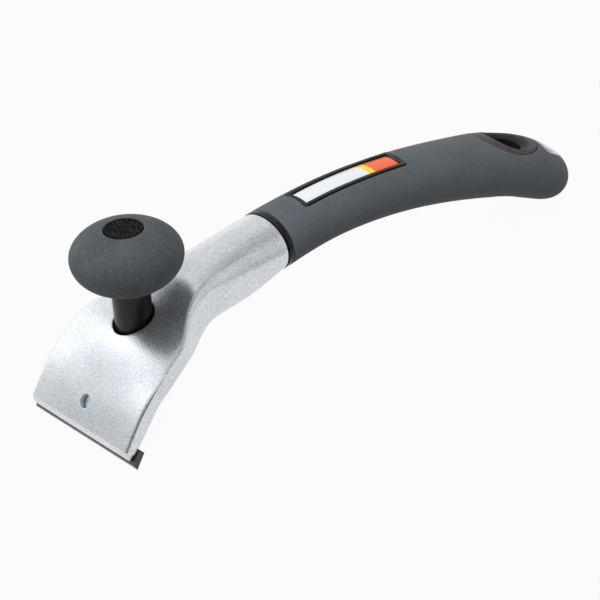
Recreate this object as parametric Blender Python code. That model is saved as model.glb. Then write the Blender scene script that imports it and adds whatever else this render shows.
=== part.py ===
"""Pull scraper: carbide blade in a cast head, a palm knob and a soft-grip handle.

The tool lies on a table on its cutting edge and on the heel of its butt. The
blade is toward -X, the butt toward +X, and the tool is symmetric about Y = 0.
Side-view places are given as (distance behind the cutting edge, height above
the table).
"""
import math
from collections import namedtuple

import bmesh
import bpy
import numpy as np
from mathutils import Matrix, Vector

MM = 0.001

# Frame: the cutting edge lies this far in front of the origin
EDGE_X = -116.6 * MM

# Fits
GAP = 0.3 * MM
SOCKET_CLEARANCE = 0.85 * MM
CUT_MARGIN = 3.0 * MM

# Blade: a flat bar with a ground bevel round its top face
BLADE_WIDTH = 63.5 * MM
BLADE_DEPTH = 7.0 * MM
BLADE_THICKNESS = 1.6 * MM
BLADE_BEVEL = 0.9 * MM
BLADE_SLOPE = math.radians(53.0)

# Head: distances along the blade plane, and heights above its underside
HEAD_WIDTH = 59.7 * MM
HEAD_SETBACK = 2.0 * MM
HEAD_THICKNESS = 5.6 * MM
NOSE_LENGTH = 2.8 * MM
NOSE_LIP = 0.9 * MM
NOSE_TAPER = 0.8 * MM
NOSE_TURN = math.radians(65.0)
NOSE_CROWN = 0.9 * MM
FLAT_LENGTH = 24.8 * MM
FLAT_FALL = 0.05 * MM
FLAT_BULGE = 0.3 * MM
REGISTER_STEP = 0.8 * MM
SKIRT_DROP = 2.0 * MM
HEAD_CORNER = 1.6 * MM
NECK_WIDTH = 28.2 * MM

# Blade clamp and its screw
CLAMP_WIDTH = 50.0 * MM
CLAMP_FRONT = 2.8 * MM
CLAMP_LENGTH = 20.5 * MM
CLAMP_THICKNESS = 2.6 * MM
CLAMP_NOSE = 1.2 * MM
SCREW_PLACE = 13.6 * MM
SCREW_RADIUS = 2.5 * MM
SCREW_RECESS = 1.9 * MM
SCREW_HEAD_RADIUS = 4.6 * MM
SCREW_FACE_RADIUS = 3.7 * MM
SCREW_HEAD_HEIGHT = 3.0 * MM
SLOT_WIDTH = 1.2 * MM
SLOT_DEPTH = 1.5 * MM
LOCK_WASHER_RADIUS = 4.5 * MM
LOCK_WASHER_THICKNESS = 1.2 * MM

# Knob: heights along its axis, which leans toward the handle
KNOB_X = 27.4 * MM
KNOB_LEAN = math.radians(2.6)
KNOB_RADIUS = 21.6 * MM
KNOB_EQUATOR = 66.2 * MM
KNOB_CROWN = 12.4 * MM
KNOB_BELLY = 13.8 * MM
KNOB_RUBBER = 5.0 * MM
KNOB_CAP_RADIUS = 7.3 * MM
KNOB_CAP_DEPTH = 4.0 * MM
KNOB_CAP_SINK = 0.1 * MM
STEM_TOP_RADIUS = 7.6 * MM
STEM_FOOT_RADIUS = 7.15 * MM
SOCKET_FLOOR = 31.5 * MM
STUD_RADIUS = 4.0 * MM
STUD_TOP = 56.0 * MM
BOSS_RADIUS = 9.0 * MM
BOSS_FOOT = 22.0 * MM
KNOB_WASHER_RADIUS = 6.6 * MM
KNOB_WASHER_THICKNESS = 1.2 * MM

# Handle
HANDLE_START = 92.1 * MM
HANDLE_END = 232.1 * MM
DOME_LENGTH = 19.9 * MM
DOME_POWER = 3.55
COLLAR_WIDTH = 2.5 * MM
COLLAR_INSET = 0.1 * MM
NECK_INSET = 0.35 * MM
GRIP_THICKNESS = 2.4 * MM
TANG_WIDTH = 17.0 * MM
TANG_HEIGHT = 10.0 * MM
TANG_CLEARANCE = 5.1 * MM
TANG_ROOT = 5.0 * MM
TANG_TAPER = 0.3

# Label and the frame round it, along the handle
LABEL_START = 109.5 * MM
LABEL_LENGTH = 44.9 * MM
LABEL_WIDTH = 9.2 * MM
LABEL_THICKNESS = 0.4 * MM
LABEL_SINK = 0.2 * MM
FRAME_BORDER = 2.1 * MM
FRAME_SINK = 0.7 * MM

# Hang hole through the handle: an oval bezel with an oval mouth above, a round flange below
HOLE_SETBACK = 6.6 * MM
HOLE_RADIUS = 7.8 * MM
BEZEL_HALF_LENGTH = 14.4 * MM
BEZEL_HALF_WIDTH = 11.9 * MM
BEZEL_SHIFT = 1.0 * MM
MOUTH_HALF_LENGTH = 10.4 * MM
MOUTH_HALF_WIDTH = 10.2 * MM
MOUTH_SHIFT = 2.1 * MM
MOUTH_DEPTH = 2.8 * MM
FLANGE_RADIUS = 10.4 * MM
FLANGE_LIP = 2.0 * MM
FLANGE_DEPTH = 0.6 * MM
BEZEL_WALL = 1.7 * MM
BEZEL_INSET = 0.15 * MM

# Hammer cap on the upper back of the butt
CAP_BACK = 1.2 * MM
CAP_ABOVE = 12.1 * MM
CAP_TILT = math.radians(40.0)
CAP_TOP_WIDTH = 18.0 * MM
CAP_FOOT_WIDTH = 8.0 * MM
CAP_RISE = 10.6 * MM
CAP_DROP = 9.0 * MM
CAP_CORNER = 2.4 * MM
CAP_DEPTH = 4.6 * MM
CAP_FLAT = 0.45 * MM
CAP_PROUD = 0.1 * MM
SPIGOT_RADIUS = 3.2 * MM
SPIGOT_LENGTH = 6.0 * MM

# Facets
ROUND_STEPS = 32
QUARTER_STEPS = 10
HANDLE_SIDES = 28
TANG_SIDES = 20

Material = namedtuple("Material", "colour metallic roughness")
CAST = Material((0.62, 0.63, 0.65), 1.0, 0.42)
CARBIDE = Material((0.13, 0.12, 0.12), 0.8, 0.38)
ZINC = Material((0.55, 0.60, 0.66), 1.0, 0.28)
STEEL = Material((0.50, 0.50, 0.51), 1.0, 0.35)
RUBBER = Material((0.085, 0.098, 0.110), 0.0, 0.62)
PLASTIC = Material((0.018, 0.018, 0.019), 0.0, 0.30)
BEZEL_PLASTIC = Material((0.050, 0.047, 0.045), 0.0, 0.50)
PRINT = Material((0.83, 0.86, 0.92), 0.0, 0.45)


def clear_scene():
    """Start from an empty scene."""
    for thing in list(bpy.data.objects):
        bpy.data.objects.remove(thing, do_unlink=True)


def new_collection(name):
    """Make a collection in the scene."""
    group = bpy.data.collections.new(name)
    bpy.context.scene.collection.children.link(group)
    return group


clear_scene()
PARTS = new_collection("carbide_scraper")
CUTTERS = new_collection("cutters")


def paint(thing, look):
    """Give an object its own plain material."""
    material = bpy.data.materials.new(thing.name)
    material.use_nodes = True
    shader = material.node_tree.nodes["Principled BSDF"]
    shader.inputs["Base Color"].default_value = (*look.colour, 1.0)
    shader.inputs["Metallic"].default_value = look.metallic
    shader.inputs["Roughness"].default_value = look.roughness
    thing.data.materials.clear()
    thing.data.materials.append(material)


def add_part(name, mesh, look, parent=None):
    """Put a mesh in the part's collection as a named, painted piece."""
    thing = bpy.data.objects.new(name, mesh)
    PARTS.objects.link(thing)
    thing.parent = parent
    mesh.shade_smooth()
    mesh.set_sharp_from_angle(angle=math.radians(35.0))
    paint(thing, look)
    return thing


def add_cutter(name, mesh, parent=None):
    """Put a mesh among the cutters, out of the model."""
    thing = bpy.data.objects.new(name, mesh)
    CUTTERS.objects.link(thing)
    thing.parent = parent
    thing.hide_render = True
    thing.display_type = 'WIRE'
    return thing


def add_empty(name, x, z, turn=0.0):
    """Place an empty in the middle plane, turned about Y."""
    thing = bpy.data.objects.new(name, None)
    PARTS.objects.link(thing)
    thing.location = (EDGE_X + x, 0.0, z)
    thing.rotation_euler = (0.0, turn, 0.0)
    return thing


def boolean(thing, tool, operation='DIFFERENCE'):
    """Cut, join or cross a piece with a tool, by the exact solver."""
    modifier = thing.modifiers.new(f"{operation.lower()} {tool.name}", 'BOOLEAN')
    modifier.operation = operation
    modifier.solver = 'EXACT'
    modifier.object = tool


def finish_mesh(shape, name):
    """Turn a bmesh into a mesh with its faces pointing out."""
    bmesh.ops.recalc_face_normals(shape, faces=shape.faces)
    mesh = bpy.data.meshes.new(name)
    shape.to_mesh(mesh)
    shape.free()
    return mesh


def box_mesh(name, low, high):
    """A box between two corners."""
    shape = bmesh.new()
    size = Vector(high) - Vector(low)
    middle = (Vector(high) + Vector(low)) / 2
    place = Matrix.Translation(middle) @ Matrix.Diagonal((*size, 1.0))
    bmesh.ops.create_cube(shape, size=1.0, matrix=place)
    return finish_mesh(shape, name)


def rod_mesh(name, radius, low, high, top_radius=None):
    """A rod or cone along Z between two heights."""
    shape = bmesh.new()
    bmesh.ops.create_cone(
        shape,
        cap_ends=True,
        segments=ROUND_STEPS,
        radius1=radius,
        radius2=radius if top_radius is None else top_radius,
        depth=high - low,
        matrix=Matrix.Translation((0.0, 0.0, (low + high) / 2)),
    )
    return finish_mesh(shape, name)


def turned_mesh(name, profile):
    """Turn a closed profile of (radius, height) points, clear of the axis, about Z."""
    shape = bmesh.new()
    points = [shape.verts.new((radius, 0.0, height)) for radius, height in profile]
    for here, after in zip(points, points[1:] + points[:1]):
        shape.edges.new((here, after))
    bmesh.ops.spin(
        shape,
        geom=shape.verts[:] + shape.edges[:],
        axis=(0.0, 0.0, 1.0),
        cent=(0.0, 0.0, 0.0),
        angle=2 * math.pi,
        steps=ROUND_STEPS,
        use_merge=True,
    )
    return finish_mesh(shape, name)


def outline_mesh(name, outline, thickness):
    """A flat outline of (across, up) points, thickened evenly both ways along its normal."""
    curve = bpy.data.curves.new(name, 'CURVE')
    curve.dimensions = '2D'
    curve.fill_mode = 'BOTH'
    curve.extrude = thickness / 2
    line = curve.splines.new('POLY')
    line.points.add(len(outline) - 1)
    for point, (across, up) in zip(line.points, outline):
        point.co = (across, up, 0.0, 1.0)
    line.use_cyclic_u = True
    holder = bpy.data.objects.new(name, curve)
    CUTTERS.objects.link(holder)
    evaluated = holder.evaluated_get(bpy.context.evaluated_depsgraph_get())
    mesh = bpy.data.meshes.new_from_object(evaluated)
    bpy.data.objects.remove(holder, do_unlink=True)
    shape = bmesh.new()
    shape.from_mesh(mesh)
    bmesh.ops.remove_doubles(shape, verts=shape.verts, dist=0.001 * MM)
    shape.to_mesh(mesh)
    shape.free()
    return mesh


def loft_mesh(name, rings):
    """Skin a row of rings of equal count and close both ends."""
    shape = bmesh.new()
    rows = [[shape.verts.new(point) for point in ring] for ring in rings]
    for near, far in zip(rows, rows[1:]):
        for i in range(len(near)):
            j = (i + 1) % len(near)
            shape.faces.new((near[i], near[j], far[j], far[i]))
    shape.faces.new(rows[0])
    shape.faces.new(rows[-1])
    return finish_mesh(shape, name)


def natural_cubic(knots, values):
    """A smooth curve through the given values, as a function of the knots' coordinate."""
    knots = np.asarray(knots, dtype=float)
    values = np.asarray(values, dtype=float)
    step = np.diff(knots)
    rise = np.diff(values) / step
    matrix = np.eye(len(knots))
    right = np.zeros(len(knots))
    for i in range(1, len(knots) - 1):
        matrix[i, i - 1:i + 2] = step[i - 1], 2 * (step[i - 1] + step[i]), step[i]
        right[i] = 6 * (rise[i] - rise[i - 1])
    bend = np.linalg.solve(matrix, right)

    def value(place):
        i = int(np.clip(np.searchsorted(knots, place) - 1, 0, len(knots) - 2))
        a = (knots[i + 1] - place) / step[i]
        b = 1 - a
        curved = (a ** 3 - a) * bend[i] + (b ** 3 - b) * bend[i + 1]
        return a * values[i] + b * values[i + 1] + curved * step[i] ** 2 / 6

    return value


def section_ring(centre, lean, across_up):
    """Stand a list of (across, up) points in a plane that leans toward +X by an angle."""
    x, z = centre
    return [
        (EDGE_X + x + up * math.sin(lean), across, z + up * math.cos(lean))
        for across, up in across_up
    ]


def rounded_box(half_width, low, high, corner):
    """A rounded rectangle as one point per entry, counter-clockwise from its right side."""
    half = (high - low) / 2
    middle = (high + low) / 2
    corner = min(corner, half * 0.95, half_width * 0.95)
    arc = [math.radians(90.0 * i / 4) for i in range(5)]
    quarter = [(half_width, 0.0)]
    quarter += [
        (half_width - corner + corner * math.cos(a), half - corner + corner * math.sin(a)) for a in arc
    ]
    flat = QUARTER_STEPS - len(quarter)
    quarter += [((half_width - corner) * (1 - i / flat), half) for i in range(1, flat)]
    top = quarter + [(0.0, half)] + [(-y, v) for y, v in reversed(quarter[1:])]
    ring = top + [(-y, -v) for y, v in top]
    return [(y, v + middle) for y, v in ring]


def oval(half_width, half_height, count):
    """An ellipse of evenly stepped angles, counter-clockwise from its right side."""
    steps = [2 * math.pi * i / count for i in range(count)]
    return [(half_width * math.cos(a), half_height * math.sin(a)) for a in steps]


# Handle: each row is (share of its length, height, lean in degrees, half width, half height)
HANDLE_POINTS = (
    (0.0, 41.85, 8.4, 15.4, 10.70),
    (0.168, 42.9, 7.1, 14.1, 10.55),
    (0.346, 40.9, 8.5, 14.1, 10.65),
    (0.522, 36.0, 12.9, 14.3, 11.20),
    (0.7, 28.6, 17.9, 15.8, 11.80),
    (0.82, 22.1, 25.6, 16.5, 12.25),
    (0.94, 11.6, 34.0, 16.7, 11.50),
    (1.0, 4.9, 39.1, 15.8, 11.80),
)
HANDLE_PLACES = [HANDLE_START + row[0] * (HANDLE_END - HANDLE_START) for row in HANDLE_POINTS]
DOME_START = HANDLE_END - DOME_LENGTH
HOLE_X = DOME_START - HOLE_SETBACK
TANG_END = HOLE_X - BEZEL_HALF_LENGTH - TANG_CLEARANCE
handle_height = natural_cubic(HANDLE_PLACES, [row[1] * MM for row in HANDLE_POINTS])
handle_lean = natural_cubic(HANDLE_PLACES, [math.radians(row[2]) for row in HANDLE_POINTS])
handle_half_width = natural_cubic(HANDLE_PLACES, [row[3] * MM for row in HANDLE_POINTS])
handle_half_height = natural_cubic(HANDLE_PLACES, [row[4] * MM for row in HANDLE_POINTS])


def handle_halves(place, inset=0.0, end=HANDLE_END):
    """Half width and half height of the handle, a given depth under its surface, drawn in over the butt."""
    half_width = handle_half_width(place) - inset
    half_height = handle_half_height(place) - inset
    if place > DOME_START:
        share = min((place - DOME_START) / (end - DOME_START), 1.0)
        draw = (1 - share ** DOME_POWER) ** (1 / DOME_POWER)
        half_width *= draw
        half_height *= draw
    return half_width, half_height


def handle_ring(place, inset, end=HANDLE_END):
    """One oval of the handle, a given depth under its surface."""
    ring = oval(*handle_halves(place, inset, end), HANDLE_SIDES)
    return section_ring((place, handle_height(place)), handle_lean(place), ring)


def handle_body(name, start, inset):
    """The handle's rounded form from a place on it to the butt, a given depth under its surface."""
    end = HANDLE_END - inset
    body = list(np.linspace(start, DOME_START, 16))
    dome = [DOME_START + (end - DOME_START) * math.sin(a) for a in np.radians([18, 36, 52, 66, 78])]
    return loft_mesh(name, [handle_ring(place, inset, end) for place in body + dome])


def handle_strip(name, start, stop, half_width, low, high, corner):
    """A strip that follows the handle's top line, between two depths under it."""
    rings = []
    for place in np.linspace(start, stop, 8):
        top = handle_half_height(place)
        strip = rounded_box(half_width, top - low, top - high, corner)
        rings.append(section_ring((place, handle_height(place)), handle_lean(place), strip))
    return loft_mesh(name, rings)


def blade_point(along, above):
    """Side-view place of a point along the blade and above its underside."""
    slope = BLADE_SLOPE
    return (
        along * math.cos(slope) - above * math.sin(slope),
        along * math.sin(slope) + above * math.cos(slope),
    )


SEAT_HEIGHT = BLADE_THICKNESS + GAP
UNDERSIDE = SEAT_HEIGHT - REGISTER_STEP
HEAD_TOP = SEAT_HEIGHT + HEAD_THICKNESS
NOSE_END = HEAD_SETBACK + NOSE_LENGTH
STUD_FOOT = BOSS_FOOT + GAP

Section = namedtuple("Section", "top bottom half_width crown belly roundness")


def head_sections():
    """Key sections of the head, from the end of its nose to the collar.

    crown and belly are how far the edges of the upper and lower face drop below
    their middles; roundness goes from 0, a rounded plate, to 1, an oval.
    """
    half = HEAD_WIDTH / 2
    neck = NECK_WIDTH / 2
    start = (HANDLE_START, handle_height(HANDLE_START))
    lean = handle_lean(HANDLE_START)
    rise = handle_half_height(HANDLE_START) - NECK_INSET
    collar_top = (start[0] + rise * math.sin(lean), start[1] + rise * math.cos(lean))
    collar_foot = (start[0] - rise * math.sin(lean), start[1] - rise * math.cos(lean))
    flat_end = blade_point(FLAT_LENGTH, HEAD_TOP - FLAT_FALL)
    flat_foot = blade_point(FLAT_LENGTH, UNDERSIDE - SKIRT_DROP)
    middle = (NOSE_END + FLAT_LENGTH) / 2
    middle_foot = blade_point(middle, UNDERSIDE - SKIRT_DROP / 2)

    def at(x, z):
        return (x * MM, z * MM)

    return [
        Section(
            blade_point(NOSE_END, HEAD_TOP), blade_point(NOSE_END, UNDERSIDE), half, NOSE_CROWN, 0.0, 0.0
        ),
        Section(blade_point(middle, HEAD_TOP + FLAT_BULGE), middle_foot, half, 1.2 * MM, 0.0, 0.0),
        Section(flat_end, flat_foot, half - 0.2 * MM, 2.0 * MM, 0.2 * MM, 0.0),
        Section(at(18.5, 34.6), at(21.8, 24.4), half - 0.8 * MM, 4.8 * MM, 1.8 * MM, 0.02),
        Section(at(25.0, 38.5), at(27.8, 26.2), half - 1.8 * MM, 4.8 * MM, 1.0 * MM, 0.12),
        Section(at(32.0, 40.5), at(33.2, 27.7), half - 3.6 * MM, 3.8 * MM, 0.5 * MM, 0.1),
        Section(at(40.0, 43.6), at(41.3, 26.4), (half + neck) / 2 - 1.3 * MM, 1.2 * MM, 0.0, 0.2),
        Section(at(50.0, 48.2), at(50.7, 28.5), neck + 2.2 * MM, 0.5 * MM, 0.0, 0.4),
        Section(at(61.0, 49.55), at(61.2, 27.8), neck, 0.0, 0.0, 0.66),
        Section(at(75.0, 51.0), at(74.4, 27.6), neck, 0.0, 0.0, 0.84),
        Section(collar_top, collar_foot, handle_half_width(HANDLE_START) - NECK_INSET, 0.0, 0.0, 1.0),
    ]


def head_ring(section):
    """One ring of the head: a rounded plate blended toward an oval."""
    top = Vector(section.top)
    bottom = Vector(section.bottom)
    half = (top - bottom).length / 2
    plate = rounded_box(section.half_width, -half, half, HEAD_CORNER)
    round_one = oval(section.half_width, half, len(plate))
    ring = []
    for (y0, v0), (y1, v1) in zip(plate, round_one):
        y = y0 + (y1 - y0) * section.roundness
        v = v0 + (v1 - v0) * section.roundness
        drop = section.crown if v > 0 else section.belly
        ring.append((y, v - drop * (y / section.half_width) ** 2 * abs(v) / half))
    centre = (top + bottom) / 2
    lean = math.atan2(top[0] - bottom[0], top[1] - bottom[1])
    return section_ring(centre, lean, ring)


def nose_sections():
    """The front edge, rounded from its lip up to a crease at the full thickness of the head."""
    half = HEAD_WIDTH / 2
    lip = SEAT_HEIGHT + NOSE_LIP
    sections = []
    for angle in np.linspace(0.0, NOSE_TURN, 6)[:-1]:
        along = HEAD_SETBACK + NOSE_LENGTH * (1 - math.cos(angle)) / (1 - math.cos(NOSE_TURN))
        share = math.sin(angle) / math.sin(NOSE_TURN)
        height = lip + (HEAD_TOP - lip) * share
        width = half - NOSE_TAPER * (1 - share)
        crown = NOSE_CROWN * share
        sections.append(
            Section(blade_point(along, height), blade_point(along, UNDERSIDE), width, crown, 0.0, 0.0)
        )
    return sections


def spread_sections(keys, count):
    """Fill in sections smoothly between the key ones."""
    middles = [(Vector(key.top) + Vector(key.bottom)) / 2 for key in keys]
    steps = [(after - here).length for here, after in zip(middles, middles[1:])]
    knots = np.concatenate([[0.0], np.cumsum(steps)])

    def field(pick):
        return natural_cubic(knots, [pick(key) for key in keys])

    fields = [
        field(lambda key: key.top[0]), field(lambda key: key.top[1]),
        field(lambda key: key.bottom[0]), field(lambda key: key.bottom[1]),
        field(lambda key: key.half_width), field(lambda key: key.crown),
        field(lambda key: key.belly), field(lambda key: key.roundness),
    ]
    sections = []
    for place in np.linspace(0.0, knots[-1], count):
        tx, tz, bx, bz, width, crown, belly, roundness = [one(place) for one in fields]
        roundness = min(max(roundness, 0.0), 1.0)
        sections.append(Section((tx, tz), (bx, bz), width, crown, belly, roundness))
    return sections


blade_frame = add_empty("blade_frame", 0.0, 0.0, -BLADE_SLOPE)
screw_axis = add_empty("screw_axis", *blade_point(SCREW_PLACE, 0.0), -BLADE_SLOPE)
knob_axis = add_empty("knob_axis", KNOB_X, 0.0, KNOB_LEAN)
hole_axis = add_empty("hole_axis", HOLE_X, handle_height(HOLE_X), handle_lean(HOLE_X))
cap_axis = add_empty(
    "cap_axis", HANDLE_END + CAP_BACK, handle_height(HANDLE_END) + CAP_ABOVE, math.pi / 2 - CAP_TILT
)


def make_blade():
    """A flat bar whose top face is drawn in by the ground bevel."""
    half = BLADE_WIDTH / 2
    mesh = box_mesh("carbide_blade", (0.0, -half, 0.0), (BLADE_DEPTH, half, BLADE_THICKNESS))
    for vertex in mesh.vertices:
        if vertex.co.z > BLADE_THICKNESS / 2:
            vertex.co.x += math.copysign(BLADE_BEVEL, BLADE_DEPTH / 2 - vertex.co.x)
            vertex.co.y -= math.copysign(BLADE_BEVEL, vertex.co.y)
    add_part("carbide_blade", mesh, CARBIDE, blade_frame)


def make_clamp():
    """A plate that presses the blade up into its seat, with a heel on the head behind the blade."""
    top = -GAP
    heel = UNDERSIDE - GAP
    foot = top - CLAMP_THICKNESS
    back = CLAMP_FRONT + CLAMP_LENGTH
    step = BLADE_DEPTH + 3 * GAP
    profile = [
        (CLAMP_FRONT, top),
        (CLAMP_FRONT, top - CLAMP_NOSE),
        (CLAMP_FRONT + 2 * CLAMP_NOSE, foot),
        (back, foot),
        (back, heel),
        (step, heel),
        (step, top),
    ]
    mesh = outline_mesh("blade_clamp", profile, CLAMP_WIDTH)
    mesh.transform(Matrix.Rotation(math.pi / 2, 4, 'X'))
    clamp = add_part("blade_clamp", mesh, STEEL, blade_frame)
    hole = rod_mesh("clamp hole", SCREW_RADIUS + GAP, foot - CUT_MARGIN, heel + CUT_MARGIN)
    boolean(clamp, add_cutter("clamp hole", hole, screw_axis))


def washer_profile(inner, outer, low, high):
    """A flat ring's section."""
    return [(outer, high), (outer, low), (inner, low), (inner, high)]


CLAMP_FOOT = -GAP - CLAMP_THICKNESS
LOCK_WASHER_FOOT = CLAMP_FOOT - GAP - LOCK_WASHER_THICKNESS
SCREW_SHOULDER = LOCK_WASHER_FOOT - GAP


def make_clamp_screw():
    """A pan-head screw from below, whose end stops inside the hole in the head's top."""
    ring = washer_profile(
        SCREW_RADIUS + GAP, LOCK_WASHER_RADIUS, LOCK_WASHER_FOOT, LOCK_WASHER_FOOT + LOCK_WASHER_THICKNESS
    )
    add_part("clamp_washer", turned_mesh("clamp_washer", ring), STEEL, screw_axis)

    foot = SCREW_SHOULDER - SCREW_HEAD_HEIGHT
    shank = rod_mesh(
        "clamp_screw", SCREW_RADIUS, SCREW_SHOULDER - SCREW_HEAD_HEIGHT / 2, HEAD_TOP - SCREW_RECESS
    )
    screw = add_part("clamp_screw", shank, ZINC, screw_axis)
    head = rod_mesh("screw head", SCREW_FACE_RADIUS, foot, SCREW_SHOULDER, SCREW_HEAD_RADIUS)
    boolean(screw, add_cutter("screw head", head, screw_axis), 'UNION')
    reach = SCREW_HEAD_RADIUS + CUT_MARGIN
    slot = box_mesh(
        "screw slot",
        (-SLOT_WIDTH / 2, -reach, foot - CUT_MARGIN),
        (SLOT_WIDTH / 2, reach, foot + SLOT_DEPTH),
    )
    boolean(screw, add_cutter("screw slot", slot, screw_axis))


def tang_body(name, spare, start):
    """The tongue of the head that runs up inside the handle."""
    rings = []
    for place in np.linspace(start, TANG_END + spare, 14):
        taper = 1 - TANG_TAPER * (place - HANDLE_START) / (TANG_END - HANDLE_START)
        ring = oval(TANG_WIDTH / 2 * taper + spare, TANG_HEIGHT / 2 * taper + spare, TANG_SIDES)
        rings.append(section_ring((place, handle_height(place)), handle_lean(place), ring))
    return loft_mesh(name, rings)


def make_head():
    """Cast head: a curved fan over the blade that narrows to the neck, with the tang behind."""
    sections = nose_sections() + spread_sections(head_sections(), 22)
    mesh = loft_mesh("scraper_head", [head_ring(section) for section in sections])
    head = add_part("scraper_head", mesh, CAST)

    tang = tang_body("tang", 0.0, HANDLE_START - TANG_ROOT)
    boolean(head, add_cutter("tang", tang), 'UNION')
    boss = rod_mesh("knob boss", BOSS_RADIUS, BOSS_FOOT, SOCKET_FLOOR)
    boolean(head, add_cutter("knob boss", boss, knob_axis), 'UNION')

    socket = rod_mesh("knob socket", STEM_FOOT_RADIUS + SOCKET_CLEARANCE, SOCKET_FLOOR, KNOB_EQUATOR)
    boolean(head, add_cutter("knob socket", socket, knob_axis))
    bore = rod_mesh("stud bore", STUD_RADIUS + GAP, BOSS_FOOT - CUT_MARGIN, SOCKET_FLOOR + CUT_MARGIN)
    boolean(head, add_cutter("stud bore", bore, knob_axis))
    tapped = rod_mesh("screw hole", SCREW_RADIUS + GAP, UNDERSIDE - CUT_MARGIN, HEAD_TOP + CUT_MARGIN)
    boolean(head, add_cutter("screw hole", tapped, screw_axis))
    seat = box_mesh(
        "blade seat",
        (-CUT_MARGIN, -BLADE_WIDTH, -CUT_MARGIN),
        (BLADE_DEPTH + GAP, BLADE_WIDTH, SEAT_HEIGHT),
    )
    boolean(head, add_cutter("blade seat", seat, blade_frame))
    side = CLAMP_WIDTH / 2 + GAP
    pocket = box_mesh(
        "clamp pocket",
        (-CUT_MARGIN, -side, -CUT_MARGIN),
        (CLAMP_FRONT + CLAMP_LENGTH + GAP, side, UNDERSIDE),
    )
    boolean(head, add_cutter("clamp pocket", pocket, blade_frame))


def knob_outline(inset, low_radius, high_radius):
    """Points of the knob's round form from its crown down to its belly, some depth under its surface."""
    radius = KNOB_RADIUS - inset
    high = math.acos(high_radius / radius)
    low = math.acos(low_radius / radius)
    points = []
    for angle in np.concatenate([np.linspace(high, 0.0, 9), np.linspace(0.0, -low, 9)[1:]]):
        height = (KNOB_CROWN if angle > 0 else KNOB_BELLY) - inset
        points.append((radius * math.cos(angle), KNOB_EQUATOR + height * math.sin(angle)))
    return points


STEM_FOOT = SOCKET_FLOOR + KNOB_WASHER_THICKNESS + 2 * GAP


def make_knob():
    """Palm knob: stud, washer, hard core with its stem, soft cover and the plug in its top."""
    washer = washer_profile(
        STUD_RADIUS + GAP, KNOB_WASHER_RADIUS, SOCKET_FLOOR + GAP, SOCKET_FLOOR + GAP + KNOB_WASHER_THICKNESS
    )
    add_part("knob_washer", turned_mesh("knob_washer", washer), STEEL, knob_axis)
    stud = rod_mesh("knob_stud", STUD_RADIUS, STUD_FOOT, STUD_TOP)
    add_part("knob_stud", stud, ZINC, knob_axis)

    cover = knob_outline(0.0, STEM_TOP_RADIUS + GAP, KNOB_CAP_RADIUS + GAP)
    hollow = knob_outline(KNOB_RUBBER, STEM_TOP_RADIUS + GAP, KNOB_CAP_RADIUS + GAP)
    rubber = turned_mesh("knob_grip", cover + hollow[::-1])
    add_part("knob_grip", rubber, RUBBER, knob_axis)

    crown = cover[0][1]
    cap = rod_mesh("knob_cap", KNOB_CAP_RADIUS, crown - KNOB_CAP_DEPTH, crown - KNOB_CAP_SINK)
    add_part("knob_cap", cap, PLASTIC, knob_axis)

    inside = knob_outline(KNOB_RUBBER + GAP, STEM_TOP_RADIUS, KNOB_CAP_RADIUS)
    shelf = crown - KNOB_CAP_DEPTH - GAP
    bore = STUD_RADIUS + GAP
    profile = [(bore, shelf), (KNOB_CAP_RADIUS, shelf)]
    profile += inside
    profile += [(STEM_FOOT_RADIUS, STEM_FOOT), (bore, STEM_FOOT)]
    add_part("knob_core", turned_mesh("knob_core", profile), PLASTIC, knob_axis)


GRIP_START = HANDLE_START + COLLAR_WIDTH + GAP
FRAME_HALF = LABEL_WIDTH / 2 + FRAME_BORDER
FRAME_START = LABEL_START - FRAME_BORDER
FRAME_END = LABEL_START + LABEL_LENGTH + FRAME_BORDER
LABEL_TOP = FRAME_SINK + LABEL_SINK
LABEL_FLOOR = LABEL_TOP + LABEL_THICKNESS + GAP


def cap_outline(spare):
    """The cap's rounded tapered outline, as (across, up), seen along its axis."""
    corners = [
        (CAP_TOP_WIDTH / 2, CAP_RISE, -10.0),
        (-CAP_TOP_WIDTH / 2, CAP_RISE, 90.0),
        (-CAP_FOOT_WIDTH / 2, -CAP_DROP, 190.0),
        (CAP_FOOT_WIDTH / 2, -CAP_DROP, 270.0),
    ]
    radius = CAP_CORNER + spare
    outline = []
    for across, up, start in corners:
        middle = (across - math.copysign(CAP_CORNER, across), up - math.copysign(CAP_CORNER, up))
        for turn in np.radians(np.linspace(start, start + 90.0, 6)):
            outline.append((middle[0] + radius * math.cos(turn), middle[1] + radius * math.sin(turn)))
    return outline


def cap_prism(name, spare, low):
    """The cap's outline carried along its axis, from a depth to well outside the butt."""
    high = CAP_DEPTH + CUT_MARGIN
    mesh = outline_mesh(name, cap_outline(spare), high - low)
    mesh.transform(Matrix.Rotation(math.pi / 2, 4, 'Z'))
    mesh.transform(Matrix.Translation((0.0, 0.0, (high + low) / 2)))
    return add_cutter(name, mesh, cap_axis)


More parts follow.
